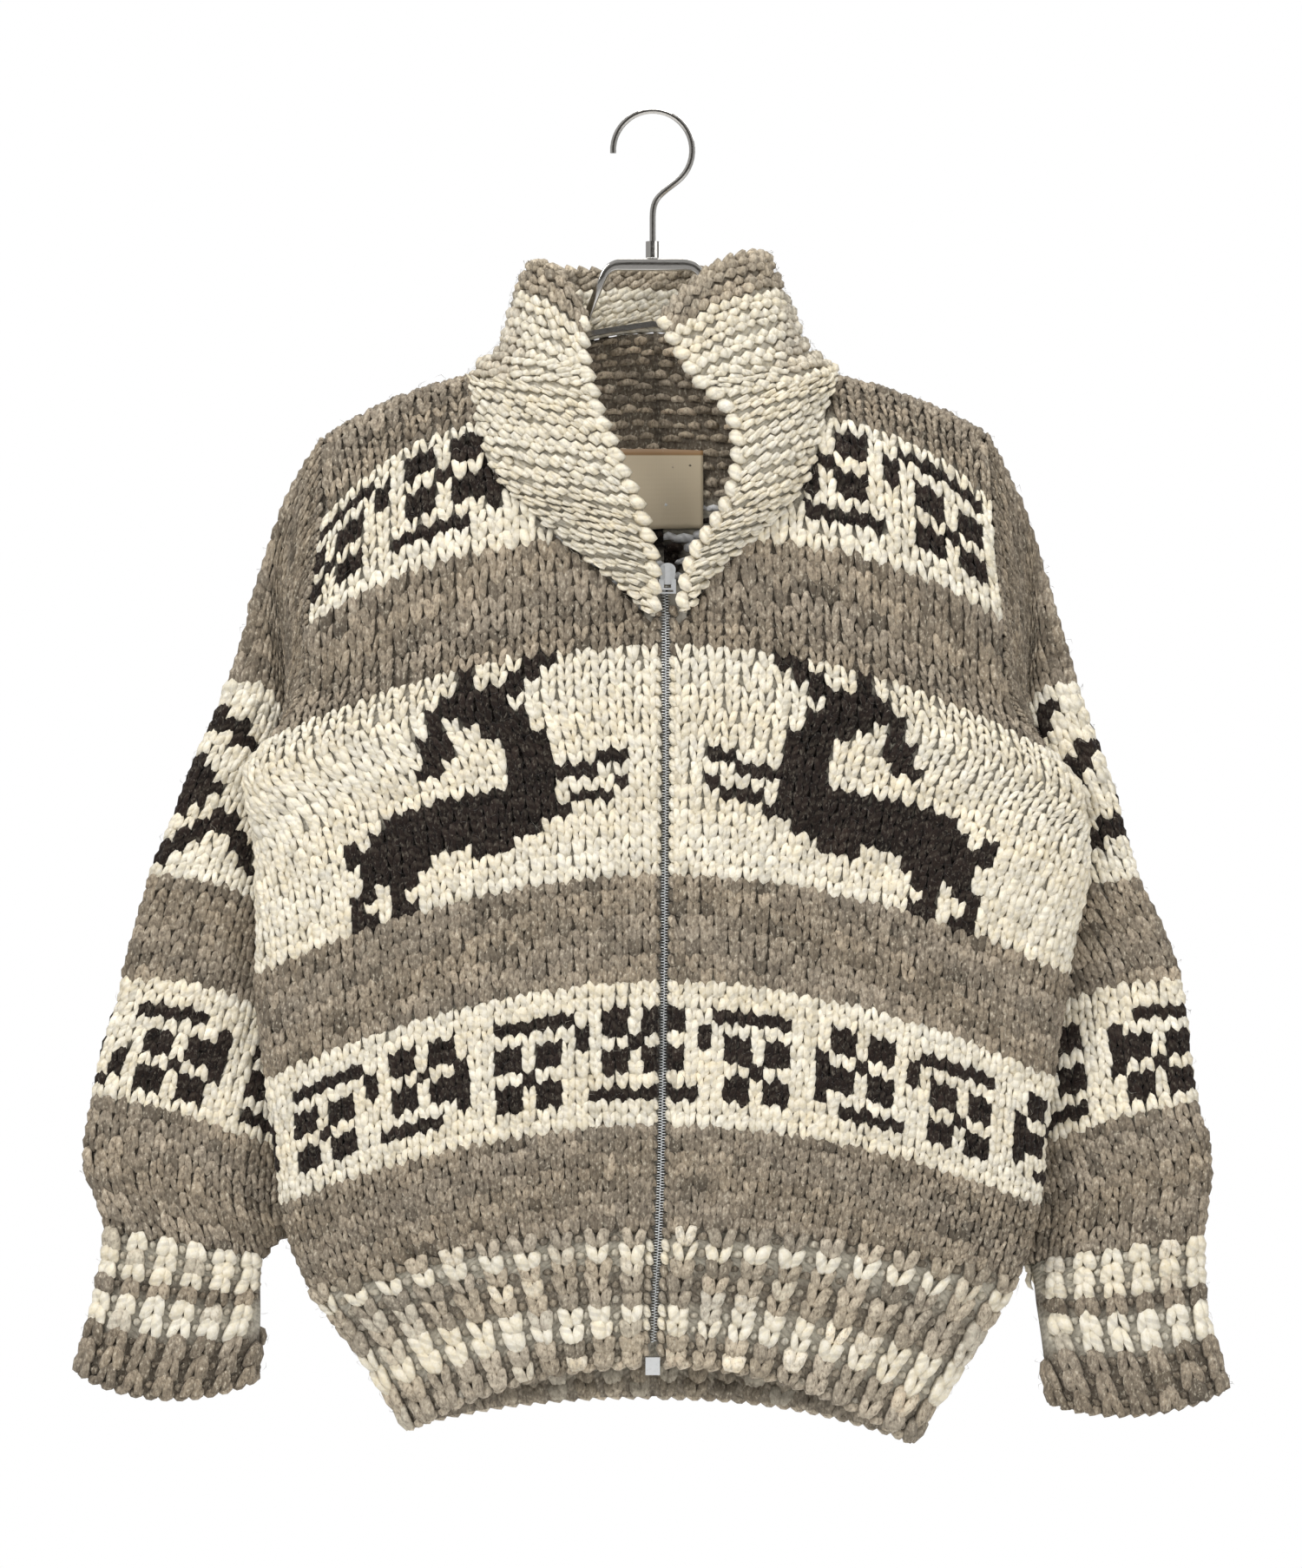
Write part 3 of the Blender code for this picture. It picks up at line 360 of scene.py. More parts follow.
def body_point(side: Table, back: bool, degrees: Array, row: Array) -> Array:
    """Outer surface of the body.

    The section is a superellipse about the zip's X; height falls from the middle to the side as a
    power of the share of the way there; above the chest the depth closes on the shoulder seam.

    Args:
        side: The table of the side wanted.
        back: Whether the point is on the back.
        degrees: Angle from the middle of the front, or of the back.
        row: Row of knitting.

    Returns:
        Points with their coordinates last.
    """
    degrees, row = np.broadcast_arrays(np.asarray(degrees, float), np.asarray(row, float))
    middle = RINGS.read("zip_x", row)
    turn, wrap = side_turn(side, back, row)
    front_wrap = side.read("wrap", row)
    share = across(degrees)
    x = middle + (turn - middle) * share
    edge_share = np.where(front_wrap >= 90, across(front_wrap), 1.0)
    droop_share = share / across(wrap) * edge_share
    middle_z = RINGS.read("z", row) - (RINGS.read("back_drop", row) if back else 0.0)
    z = middle_z + (side.read("z", row) - middle_z) * droop_share ** RINGS.read("droop", row)
    front_y = -RINGS.read("front", row) * outwards(degrees)
    back_y = RINGS.read("back", row) * outwards(degrees)
    if not back:
        return np.stack([x, np.where(degrees <= 90, front_y, -back_y) * closing(row), z], axis=-1)
    neck = np.clip(1 - (x - 0.5) ** 2 / NECK_X**2, 0, 1)
    y = back_y * closing(row) + NECK_LIFT * (1 - closing(row)) * neck**NECK_CURVE
    rise = np.clip((row - CLOSING_ROW) / (TOP_ROW - CLOSING_ROW), 0, 1)
    return np.stack([x, y, z + NECK_RISE * rise**2 * neck**2], axis=-1)


def angle_of_x(side: Table, back: bool, x: Array, row: Array) -> Array:
    """The angle at which the body's surface has this X, on the part that faces straight out.

    Args:
        side: The table of that side's outline.
        back: Whether the back's half is wanted.
        x: X in millimetres.
        row: Rows.

    Returns:
        Angles.
    """
    middle = RINGS.read("zip_x", row)
    share = (x - middle) / (side_turn(side, back, row)[0] - middle)
    return np.degrees(np.arcsin(np.clip(share, 0, 1) ** (ROUNDNESS / 2)))


def per_row_interp(at: Array, xs: Array, ys: Array) -> Array:
    """Linear interpolation along the last axis, a row of knots for each row of places.

    Every row's knots are moved past the last row's, so one call reads them all.

    Args:
        at: Places to read, a row of them for each row.
        xs: Knots, rising along each row.
        ys: Values at the knots.

    Returns:
        Values at the places.
    """
    span = max(float(xs.max()), float(at.max())) - min(float(xs.min()), float(at.min())) + 1
    shift = np.arange(len(xs))[:, None] * span
    at = np.clip(at, xs[:, :1], xs[:, -1:])
    return np.interp((at + shift).ravel(), (xs + shift).ravel(), ys.ravel()).reshape(at.shape)


def relief(points: Array) -> Array:
    """Soft lumps of hand-knitted cloth, in millimetres: a sum of slow waves over its place.

    Args:
        points: Points in millimetres.

    Returns:
        Height of the lumps at each point.
    """
    x, y, z = points[..., 0], points[..., 1], points[..., 2]
    broad = np.sin(x / 37 + 1.3) * np.sin(z / 45 + 0.4) + np.sin((x + z) / 29 + y / 15)
    fine = np.sin(x / 13 + z / 31 + 2.0) * np.sin(z / 17 - x / 23)
    return 0.75 * broad + 0.5 * fine


@dataclass(frozen=True)
class Crease:
    """A soft trough or ridge between two places given by X and Z, in millimetres."""

    from_x: float
    from_z: float
    to_x: float
    to_z: float
    width: float
    height: float

    def lift(self, points: Array) -> Array:
        """How far the crease lifts each point: a bell across it that fades at its ends.

        Args:
            points: Points in millimetres.

        Returns:
            Millimetres at each point.
        """
        start = np.array([self.from_x, self.from_z])
        run = np.array([self.to_x, self.to_z]) - start
        length = float(np.hypot(*run))
        away = points[..., (0, 2)] - start
        t = (away @ run) / length**2
        off = np.abs(away[..., 0] * run[1] - away[..., 1] * run[0]) / length
        fade = np.clip(1 - (2 * t - 1) ** 2, 0, 1) ** 0.7
        return self.height * fade * np.exp(-((off / self.width) ** 2))


def facing(points: Array) -> tuple[Array, Array]:
    """Unit normals of a grid, by crossing its two slopes, and how long the crosses were.

    Args:
        points: A grid of points.

    Returns:
        Normals and lengths. Where the grid shrinks to nothing its normals mean little.
    """
    crossed = np.cross(np.gradient(points, axis=1), np.gradient(points, axis=0))
    lengths = np.linalg.norm(crossed, axis=-1, keepdims=True)
    return crossed / np.maximum(lengths, 1e-6), lengths


@dataclass
class Panel:
    """A surface of cloth over columns of stitches and rows of knitting.

    Its grid is read between its points in straight lines, so thousands of strands are laid at once.
    """

    columns: Array
    rows: Array
    points: Array
    start: Array
    end: Array
    outward: Array
    normals: Array = field(init=False)
    pitch: float = SLEEVE_STITCH
    row_mm: float = ROW_MM

    def __post_init__(self) -> None:
        """Works out the normals, and turns them all outwards."""
        normals, _ = facing(self.points)
        self.normals = normals * np.sign((normals * self.outward).sum())

    def bend(self, creases: Sequence[Crease]) -> None:
        """Lifts the whole surface along its normals by its lumps and creases.

        Args:
            creases: The creases that cross it.
        """
        lift = relief(self.points)
        for crease in creases:
            lift = lift + crease.lift(self.points)
        self.points = self.points + self.normals * lift[..., None]
        fresh, lengths = facing(self.points)
        fresh = fresh * np.sign((fresh * self.normals).sum(axis=-1, keepdims=True))
        self.normals = np.where(lengths > 1e-3, fresh, self.normals)

    def at(self, column: Array, row: Array, height: Array | float) -> Array:
        """Points at columns and rows, lifted off the surface by a height in millimetres.

        Args:
            column: Columns.
            row: Rows.
            height: Millimetres off the surface.

        Returns:
            Points in millimetres.
        """
        fc = np.interp(column, self.columns, np.arange(len(self.columns)))
        fr = np.interp(row, self.rows, np.arange(len(self.rows)))
        c0 = np.minimum(fc.astype(int), len(self.columns) - 2)
        r0 = np.minimum(fr.astype(int), len(self.rows) - 2)
        tc, tr = (fc - c0)[..., None], (fr - r0)[..., None]

        def mix(grid: Array) -> Array:
            """Bilinear reading of one grid."""
            low = grid[r0, c0] * (1 - tc) + grid[r0, c0 + 1] * tc
            high = grid[r0 + 1, c0] * (1 - tc) + grid[r0 + 1, c0 + 1] * tc
            return low * (1 - tr) + high * tr

        return mix(self.points) + mix(self.normals) * np.asarray(height)[..., None]

    def gauge(self, column: Array, row: Array) -> tuple[Array, Array]:
        """Millimetres for each column and for each row, near these places.

        Args:
            column: Columns.
            row: Rows.

        Returns:
            Width of a column, and height of a row.
        """
        here = self.at(column, row, 0.0)
        beside = np.where(column + 0.5 > self.columns[-1], -0.5, 0.5)
        above = np.where(row + 0.5 > self.rows[-1], -0.5, 0.5)
        wide = np.linalg.norm(self.at(column + beside, row, 0.0) - here, axis=-1) * 2
        tall = np.linalg.norm(self.at(column, row + above, 0.0) - here, axis=-1) * 2
        return np.maximum(wide, 0.4 * self.pitch), np.maximum(tall, 0.25 * self.row_mm)

    def span(self, row: Array) -> tuple[Array, Array]:
        """The columns at which a row of the panel starts and ends."""
        return np.interp(row, self.rows, self.start), np.interp(row, self.rows, self.end)


def body_panel(cut: Cut, back: bool) -> Panel:
    """The surface of one side of the front or the back, over columns counted from its middle.

    Points are sampled densely round each ring, and columns are equal lengths of the arc.

    Args:
        cut: The side's cut.
        back: Whether the back's half is wanted.

    Returns:
        The panel.
    """
    rows = np.arange(0, TOP_ROW + 0.01, 0.25)
    wrap = side_turn(cut.side, back, rows)[1]
    degrees = np.linspace(0, 1, 240)[None] ** 1.3 * wrap[:, None]
    points = body_point(cut.side, back, degrees, rows[:, None])
    steps = np.linalg.norm(np.diff(points, axis=1), axis=-1)
    arc = np.concatenate((np.zeros((len(rows), 1)), np.cumsum(steps, axis=1)), axis=1)
    front_arc = arc[:, -1] if not back else body_arc(cut, rows)
    gap = 0.0 if back else ZIP_GAP
    fixed = np.minimum(rows, UNDERARM_ROW)
    pitch = (np.interp(fixed, rows, front_arc) - ZIP_GAP) / BODY_STITCHES
    columns = np.arange(0, BODY_STITCHES + 1.01, 0.25)
    place = gap + columns[None] * pitch[:, None]
    at = per_row_interp(place, arc, degrees)
    grid = body_point(cut.side, back, at, rows[:, None])
    if back:
        start = np.zeros(len(rows))
    else:
        neck = angle_of_x(cut.side, False, cut.lapel.read("seam_x", np.maximum(rows, 59)), rows)
        neck_arc = per_row_interp(neck[:, None], degrees, arc)[:, 0]
        start = np.where(rows > NECK_FOOT_ROW, (neck_arc - gap) / pitch, 0.0)
    outward = np.array([0.0, 1.0 if back else -1.0, 0.0])
    return Panel(columns, rows, grid, np.maximum(start, 0), (arc[:, -1] - gap) / pitch, outward)


def body_arc(cut: Cut, rows: Array) -> Array:
    """Length of the front's half ring at each row.

    Args:
        cut: The side's cut.
        rows: Rows.

    Returns:
        Lengths in millimetres.
    """
    wrap = side_turn(cut.side, False, rows)[1]
    degrees = np.linspace(0, 1, 240)[None] * wrap[:, None]
    points = body_point(cut.side, False, degrees, rows[:, None])
    return np.linalg.norm(np.diff(points, axis=1), axis=-1).sum(axis=1)


def armhole(cut: Cut, share: Array) -> tuple[Array, Array]:
    """The armhole's front and back edges at shares of the way down from the shoulder.

    Args:
        cut: The side's cut.
        share: Shares from 0 to 1.

    Returns:
        Points of the front edge and of the back edge.
    """
    rows = np.linspace(TOP_ROW, UNDERARM_ROW, 160)
    front = body_point(cut.side, False, side_turn(cut.side, False, rows)[1], rows)
    run = np.concatenate(([0], np.cumsum(np.linalg.norm(np.diff(front, axis=0), axis=1))))
    row = np.interp(share, run / run[-1], rows)
    return (
        body_point(cut.side, False, side_turn(cut.side, False, row)[1], row),
        body_point(cut.side, True, side_turn(cut.side, True, row)[1], row),
    )


def sleeve_panel(cut: Cut) -> Panel:
    """The sleeve and its cuff, over columns counted from the outer edge: front negative.

    A ring is a flattened superellipse between its outer and inner edges, and near the body it fades
    into the armhole's own loop.

    Args:
        cut: The side's cut.

    Returns:
        The panel.
    """
    rows = np.arange(0, CUFF_END + 0.01, 0.25)
    turn = np.linspace(-1, 1, 241)
    share = np.sin(np.abs(turn) * math.pi / 2) ** 2
    front, back = armhole(cut, share)
    loop = np.where((turn < 0)[:, None], front, back)
    swell = (1 - np.abs(2 * share - 1) ** SLEEVE_ROUNDNESS) ** (1 / SLEEVE_ROUNDNESS)
    at = {name: cut.sleeve.read(name, rows)[:, None] for name in SLEEVE_FIELDS.split()[1:]}
    x = at["out_x"] + (at["in_x"] - at["out_x"]) * share
    y = at["out_y"] + (at["in_y"] - at["out_y"]) * share
    y = y + np.where(turn < 0, -at["front"], at["back"]) * swell
    z = at["out_z"] + (at["in_z"] - at["out_z"]) * share ** at["droop"]
    z = z - at["sag"] * 4 * share * (1 - share)
    ring = np.stack([x, y, z], axis=-1)
    taken = np.clip(rows / ARMHOLE_FADE, 0, 1)[:, None, None]
    ring = loop[None] + (ring - loop[None]) * taken * (2 - taken)
    steps = np.linalg.norm(np.diff(ring, axis=1), axis=-1)
    arc = np.concatenate((np.zeros((len(rows), 1)), np.cumsum(steps, axis=1)), axis=1)
    arc = arc - arc[:, 120:121]
    reach = int(np.abs(arc).max() / SLEEVE_STITCH) + 1
    columns = np.arange(-reach, reach + 0.01, 0.25)
    knots = np.broadcast_to(turn, arc.shape)
    where = per_row_interp(np.broadcast_to(columns * SLEEVE_STITCH, (len(rows), len(columns))), arc, knots)
    grid = np.stack([per_row_interp(where, knots, ring[..., k]) for k in range(3)], axis=-1)
    outward = grid - ring.mean(axis=1, keepdims=True)
    return Panel(
        columns, rows, grid, arc[:, 0] / SLEEVE_STITCH, arc[:, -1] / SLEEVE_STITCH, outward
    )


# ------------------------------------------------------------------ surfaces of the collar
RIDGE_MM = 11.4
BUMP_MM = 8.2


def ridge_line(first: Array, edge: Array, turned: Array, fall: Array, share: Array) -> Array:
    """Ridges of a lapel from their outer ends to the free edge.

    Straight across where it is sewn down, and a quarter of an ellipse where it turns round the neck,
    with a slow swell towards the front.

    Args:
        first: Outer ends.
        edge: Points on the free edge.
        turned: How far each ridge is a quarter-ellipse, from 0 to 1.
        fall: Exponent of the fall from one end to the other.
        share: Shares of the way along.

    Returns:
        A grid of points, a row for each ridge.
    """
    quarter = share[None] * math.pi / 2
    a, b = first[:, None], edge[:, None]
    straight = a[..., 0] + (b[..., 0] - a[..., 0]) * share
    round_x = b[..., 0] + (a[..., 0] - b[..., 0]) * np.cos(quarter)
    x = straight + (round_x - straight) * turned[:, None]
    y = a[..., 1] + (b[..., 1] - a[..., 1]) * np.sin(quarter) - LAPEL_PUFF * np.sin(2 * quarter)
    z = a[..., 2] + (b[..., 2] - a[..., 2]) * share[None] ** fall[:, None]
    return np.stack([x, y, z], axis=-1)


def regrid(points: Array, outward: Array, step: float) -> Panel:
    """A panel over a coarse grid of ridges.

    Rows are spaced evenly by their mean length and columns by each row's own length, so that bumps
    keep their size along a ridge.

    Args:
        points: A grid of points.
        outward: A direction that the outer face looks towards.
        step: Millimetres between ridges.

    Returns:
        The panel.
    """
    gaps = np.linalg.norm(np.diff(points, axis=0), axis=-1).mean(axis=1)
    run = np.concatenate(([0], np.cumsum(gaps)))
    count = run[-1] / RIDGE_MM
    rows = np.linspace(0, count, int(count * 6) + 1)
    fine = smooth_read(run, points, rows / count * run[-1])
    steps = np.linalg.norm(np.diff(fine, axis=1), axis=-1)
    arc = np.concatenate((np.zeros((len(rows), 1)), np.cumsum(steps, axis=1)), axis=1)
    columns = np.arange(0, arc.max() / step + 0.3, 0.25)
    place = np.broadcast_to(columns * step, (len(rows), len(columns)))
    grid = np.stack([per_row_interp(place, arc, fine[..., k]) for k in range(3)], axis=-1)
    ends = arc[:, -1] / step
    panel = Panel(columns, rows, grid, np.zeros(len(rows)), ends, outward)
    panel.pitch, panel.row_mm = step, RIDGE_MM
    return panel


def lapel_panel(cut: Cut) -> Panel:
    """One lapel, from its foot beside the zip up to the collar's top edge.

    Args:
        cut: The side's cut.

    Returns:
        The panel.
    """
    rows = cut.lapel.column("row")
    seam_x = cut.lapel.column("seam_x")
    seam = body_point(cut.side, False, angle_of_x(cut.side, False, seam_x, rows), rows)
    edge = np.stack([cut.lapel.column(name) for name in ("edge_x", "edge_y", "edge_z")], axis=-1)
    stand = cut.stand
    turn = np.stack([stand.column("turn_x"), np.zeros(4), stand.column("turn_z")], axis=-1)
    free = np.stack([stand.column(name) for name in ("edge_x", "edge_y", "edge_z")], axis=-1)
    first, last = np.concatenate((seam, turn)), np.concatenate((edge, free))
    turned = np.concatenate((np.clip((rows - 74) / 7, 0, 1), np.ones(4)))
    fall = np.concatenate((np.ones(len(rows)), 1 + 2.5 * stand.column("share")))
    grid = ridge_line(first, last, turned, fall, np.linspace(0, 1, 49))
    outward = np.array([0.6 * cut.hand.value, -1.0, 0.1])
    return regrid(grid, outward, BUMP_MM)


def band_panel() -> Panel:
    """The collar behind the neck: a curve round the nape that climbs between the two sides.

    Returns:
        The panel.
    """
    lean = np.sin(np.linspace(-math.pi / 2, math.pi / 2, 81))
    x = 0.5 + NECK_X * lean
    row = np.full(len(x), TOP_ROW)
    halves = [
        body_point(cut.side, True, angle_of_x(cut.side, True, x, row), row)
        for cut in (LEFT_CUT, RIGHT_CUT)
    ]
    seam = np.where((lean < 0)[:, None], halves[0], halves[1])
    left, right = LEFT_CUT.stand, RIGHT_CUT.stand
    to_right = (lean + 1) / 2
    tops = np.where(lean < 0, left.column("turn_z")[-1], right.column("turn_z")[-1])
    top_z = NAPE_TOP_Z + (tops - NAPE_TOP_Z) * lean**2
    share = left.column("share")
    climbs = [
        (table.column("turn_z") - end) / (table.column("turn_z")[-1] - end)
        for table, end in ((left, seam[0, 2]), (right, seam[-1, 2]))
    ]
    climb = climbs[0][:, None] * (1 - to_right) + climbs[1][:, None] * to_right
    wide = left.column("turn_x")[:, None] * (1 - to_right) + right.column("turn_x")[:, None] * to_right
    depth = NECK_LIFT + (NAPE_TOP_Y - NECK_LIFT) * share[:, None]
    y = depth * np.clip(1 - lean**2, 0, 1) ** NECK_CURVE
    z = seam[:, 2] + (top_z - seam[:, 2]) * climb
    grid = np.concatenate((seam[None], np.stack([wide, y, z], axis=-1)))
    return regrid(grid, np.array([0.0, 1.0, 0.0]), BUMP_MM)


# ------------------------------------------------------------------ charts and colours
class Wool(Enum):
    """Colours of the hand-spun wool: red, green, blue, and how strongly it is flecked."""

    CREAM = (0.79, 0.732, 0.600, 0.10)
    GREY = (0.270, 0.226, 0.171, 1.0)
    BROWN = (0.0165, 0.0110, 0.0092, 0.22)
    GREIGE = (0.42, 0.362, 0.280, 0.85)
    MARL = (0.64, 0.580, 0.470, 0.55)


TONES = np.array([wool.value for wool in Wool])
CREAM, GREY, BROWN, GREIGE, MARL = range(5)


@dataclass(frozen=True)
class Chart:
    """A motif in stitches. Its first line is the top row, and X is a dark stitch."""

    lines: Sequence[str]

    def dark(self, column: Array, row: Array, repeat: bool) -> Array:
        """Whether stitches at these columns and rows of the motif are dark.

        Args:
            column: Columns.
            row: Rows.
            repeat: Whether the motif repeats sideways.

        Returns:
            True where it is dark.
        """
        marks = np.array([[mark == "X" for mark in line] for line in self.lines[::-1]])
        tall, wide = marks.shape
        inside = (row >= 0) & (row < tall)
        if not repeat:
            inside &= (column >= 0) & (column < wide)
        return inside & marks[np.clip(row, 0, tall - 1), np.mod(column, wide)]


WINDOWS = Chart(
    """
XX.XX..XXXXXX...
XX.XX.X.........
..X...X.XX.XX..X
XX.XX...XX.XX..X
XX.XX.....X....X
........XX.XX..X
.XXXXX..XX.XX...
""".split()
)
STAG = Chart(
    """
..........X...XX....
..........X..XX.....
.........XXXXX......
........XXXXX.......
........X.XXXX......
.......XX..XXX......
.......XX...XXX.....
......XX....XXX.....
............XXX...XX
............XXXXXX..
...XXXXXXXXXXXX....X
X.XXXXXXXXXXXXX.XXX.
XXXXXXXXXXXXXXXX....
.XXXXXXXXXXXXX......
.XXXXX...XXX........
XX.XX...............
X..X................
XX.XX...............
""".split()
)
STEPS = Chart(
    """
.......XX.......
XX....XXXX....XX
.XX..XX..XX..XX.
..XXXX....XXXX..
...XX..XX..XX...
......XXXX......
X....XXXXXX....X
XX....XXXX....XX
.XX....XX....XX.
..XX........XX..
...XXX....XXX...
X....XXXXXX....X
XX.....XX.....XX
.XX..........XX.
""".split()
)


def banded(bands: tuple[tuple[int, int], ...], row: Array) -> Array:
    """The wool of each row, from bands given by their first row and their wool.

    Args:
        bands: First row and wool of each band, from the lowest row up.
        row: Whole rows.

    Returns:
        Places among the wools.
    """
    starts, wools = np.array(bands).T
    return wools[np.searchsorted(starts, row, side="right") - 1]


BODY_BANDS = (
    (0, GREIGE), (2, CREAM), (5, GREIGE), (8, CREAM), (10, GREIGE), (11, GREY), (19, CREAM), (30, GREY),
    (38, CREAM), (56, GREY),
)  # fmt: skip
SLEEVE_BANDS = (
    (0, GREY), (20, CREAM), (36, GREY), (44, CREAM), (54, GREY), (64, CREAM), (67, GREY), (69, CREAM),
    (71, GREY),
)  # fmt: skip
YOKE_ROWS = 10


def body_wool(column: Array, row: Array, phase: int, yoke: int = YOKE_ROW) -> Array:
    """Colour of each stitch of the body, by its column from the middle and its row.

    Args:
        column: Whole columns from the zip, or from the middle of the back.
        row: Whole rows from the hem.
        phase: How far the windows are moved sideways.
        yoke: First row of the band of windows over the shoulders.

    Returns:
        Places in the palette.
    """
    wool = banded(BODY_BANDS + ((yoke, CREAM), (yoke + YOKE_ROWS, GREY)), row)
    dark = WINDOWS.dark(column + phase, row - 21, True)
    dark |= WINDOWS.dark(column + phase + 5, row - yoke - 2, True)
    dark |= STAG.dark(21 - column, row - 38, False)
    return np.where(dark, BROWN, wool)


def sleeve_wool(column: Array, row: Array, phase: int) -> Array:
    """Colour of each stitch of a sleeve, by its column from the outer edge and its row.

    Args:
        column: Columns.
        row: Rows.
        phase: Columns by which the motifs are moved.

    Returns:
        Places among the wools.
    """
    wool = banded(SLEEVE_BANDS, row)
    dark = STEPS.dark(column + phase, row - 21, True) | WINDOWS.dark(column + phase, row - 46, True)
    return np.where(dark, BROWN, wool)


def blended(wool: Array, rng: np.random.Generator) -> Array:
    """The rib's wools, where the hand-spun yarn often wanders from one colour to its neighbour.

    Args:
        wool: Places among the wools.
        rng: The source of chance.

    Returns:
        The same with some changed for a neighbour.
    """
    chance = rng.random(len(wool))
    light = np.where(wool == CREAM, np.where(chance < 0.22, MARL, CREAM), wool)
    return np.where((wool == GREIGE) & (chance < 0.16), MARL, light)


def spun(wool: Array, column: Array, row: Array, rng: np.random.Generator) -> Array:
    """Red, green, blue and fleck of each stitch, with the drift of hand-spun yarn along its row.

    Args:
        wool: Places in the palette.
        column: Column of each stitch.
        row: Row of each stitch.
        rng: The script's own seeded generator.

    Returns:
        An array of four numbers for each stitch.
    """
    base = TONES[wool]
    drift = np.sin(column * 0.37 + row * 2.1) + np.sin(column * 0.83 - row * 1.7 + 1.0)
    drift = drift * 0.5 + rng.normal(0, 0.75, len(wool))
    strength = np.array([0.045, 0.25, 0.22, 0.22, 0.16])[wool]
    base[:, :3] *= np.clip(1 + strength * drift, 0.45, 1.6)[:, None]
    warm = 0.03 * np.sin(column * 0.21 + row * 0.9) + rng.random(len(wool)) * 0.05
    base[:, 1] *= 1 - 0.35 * warm
    base[:, 2] *= 1 - warm
    return np.clip(base, 0, 0.95)


# ------------------------------------------------------------------ strands of yarn
def tube_faces(rings: int, corners: int) -> Array:
    """Triangles of a tube closed to a point at both ends: a fan, bands between rings, and a fan.

    Args:
        rings: Rings between the two end points.
        corners: Corners of each ring.

    Returns:
        Three corners for each triangle.
    """
    k = np.arange(corners)
    j = (k + 1) % corners
    parts = [np.stack([np.zeros(corners, int), 1 + k, 1 + j], axis=-1)]
    for ring in range(rings - 1):
        a, b = 1 + ring * corners, 1 + (ring + 1) * corners
        parts.append(np.stack([a + k, b + k, b + j], axis=-1))
        parts.append(np.stack([a + k, b + j, a + j], axis=-1))
    last, tip = 1 + (rings - 1) * corners, 1 + rings * corners
    parts.append(np.stack([last + k, np.full(corners, tip), last + j], axis=-1))
    return np.concatenate(parts)


def tube_twist(rings: int, corners: int) -> Array:
    """Length and turn of each point of such a tube, both from 0 to 1, for the yarn's twist.

    Args:
        rings: Rings between the two end points.
        corners: Corners of each ring.

    Returns:
        Two numbers for each point.
    """
    u = np.repeat(np.arange(1, rings + 1) / (rings + 1), corners)
    v = np.tile(np.arange(corners) / corners, rings)
    return np.concatenate(([[0.0, 0.5]], np.stack([u, v], axis=-1), [[1.0, 0.5]]))


@dataclass(frozen=True)
class Strand:
    """A bulge of yarn: stations along its middle line, and its half-thicknesses in millimetres.

    Across is in columns, along in rows, rise in millimetres off the cloth. Its first and last
    stations are single points, and between them stand rings of five corners, flat underneath.
    """

    across: tuple[float, ...]
    along: tuple[float, ...]
    rise: tuple[float, ...]
    wide: tuple[float, ...]
    tall: tuple[float, ...]

    CORNERS = np.radians((-25.0, 35.0, 90.0, 145.0, 205.0))

    def lay(self, panel: Panel, lie: Lie) -> Array:
        """Lays a copy at each place on a panel.

        The middle line is moved to each place; a ring's corners stand off it, sideways along the
        cloth by the cosine and up by the sine of their angles.

        Args:
            panel: The surface that carries them.
            lie: Where and how each copy lies.

        Returns:
            Points, grouped by copy.
        """
        across = lie.flip[:, None] * np.array(self.across) * lie.wide[:, None]
        along = np.array(self.along) * lie.stretch[:, None]
        pitch, row_mm = (grid[:, None] for grid in panel.gauge(lie.column, lie.row))
        step_c = np.gradient(across, axis=1) * pitch
        step_r = np.gradient(along, axis=1) * row_mm
        size = np.maximum(np.hypot(step_c, step_r), 1e-6)
        side_c, side_r = step_r / size / pitch, -step_c / size / row_mm
        cos, sin = np.cos(self.CORNERS), np.sin(self.CORNERS)
        wide = np.array(self.wide) * lie.plump[:, None]
        tall = np.array(self.tall) * lie.plump[:, None]
        c = (lie.column[:, None] + across)[..., None] + (side_c * wide)[..., None] * cos
        r = (lie.row[:, None] + along)[..., None] + (side_r * wide)[..., None] * cos
        h = (np.array(self.rise) + lie.lift[:, None])[..., None] + tall[..., None] * sin
        h = lie.base + lie.face * h
        rings = panel.at(c[:, 1:-1], r[:, 1:-1], h[:, 1:-1])
        ends = [panel.at(c[:, k].mean(-1), r[:, k].mean(-1), h[:, k].mean(-1)) for k in (0, -1)]
        count = len(lie.column)
        return np.concatenate(
            (ends[0][:, None], rings.reshape(count, -1, 3), ends[1][:, None]), axis=1
        )

    def faces(self) -> Array:
        """Triangles of one copy."""
        return tube_faces(len(self.across) - 2, len(self.CORNERS))

    def unwrapped(self) -> Array:
        """Length and turn of each point of one copy."""
        return tube_twist(len(self.across) - 2, len(self.CORNERS))


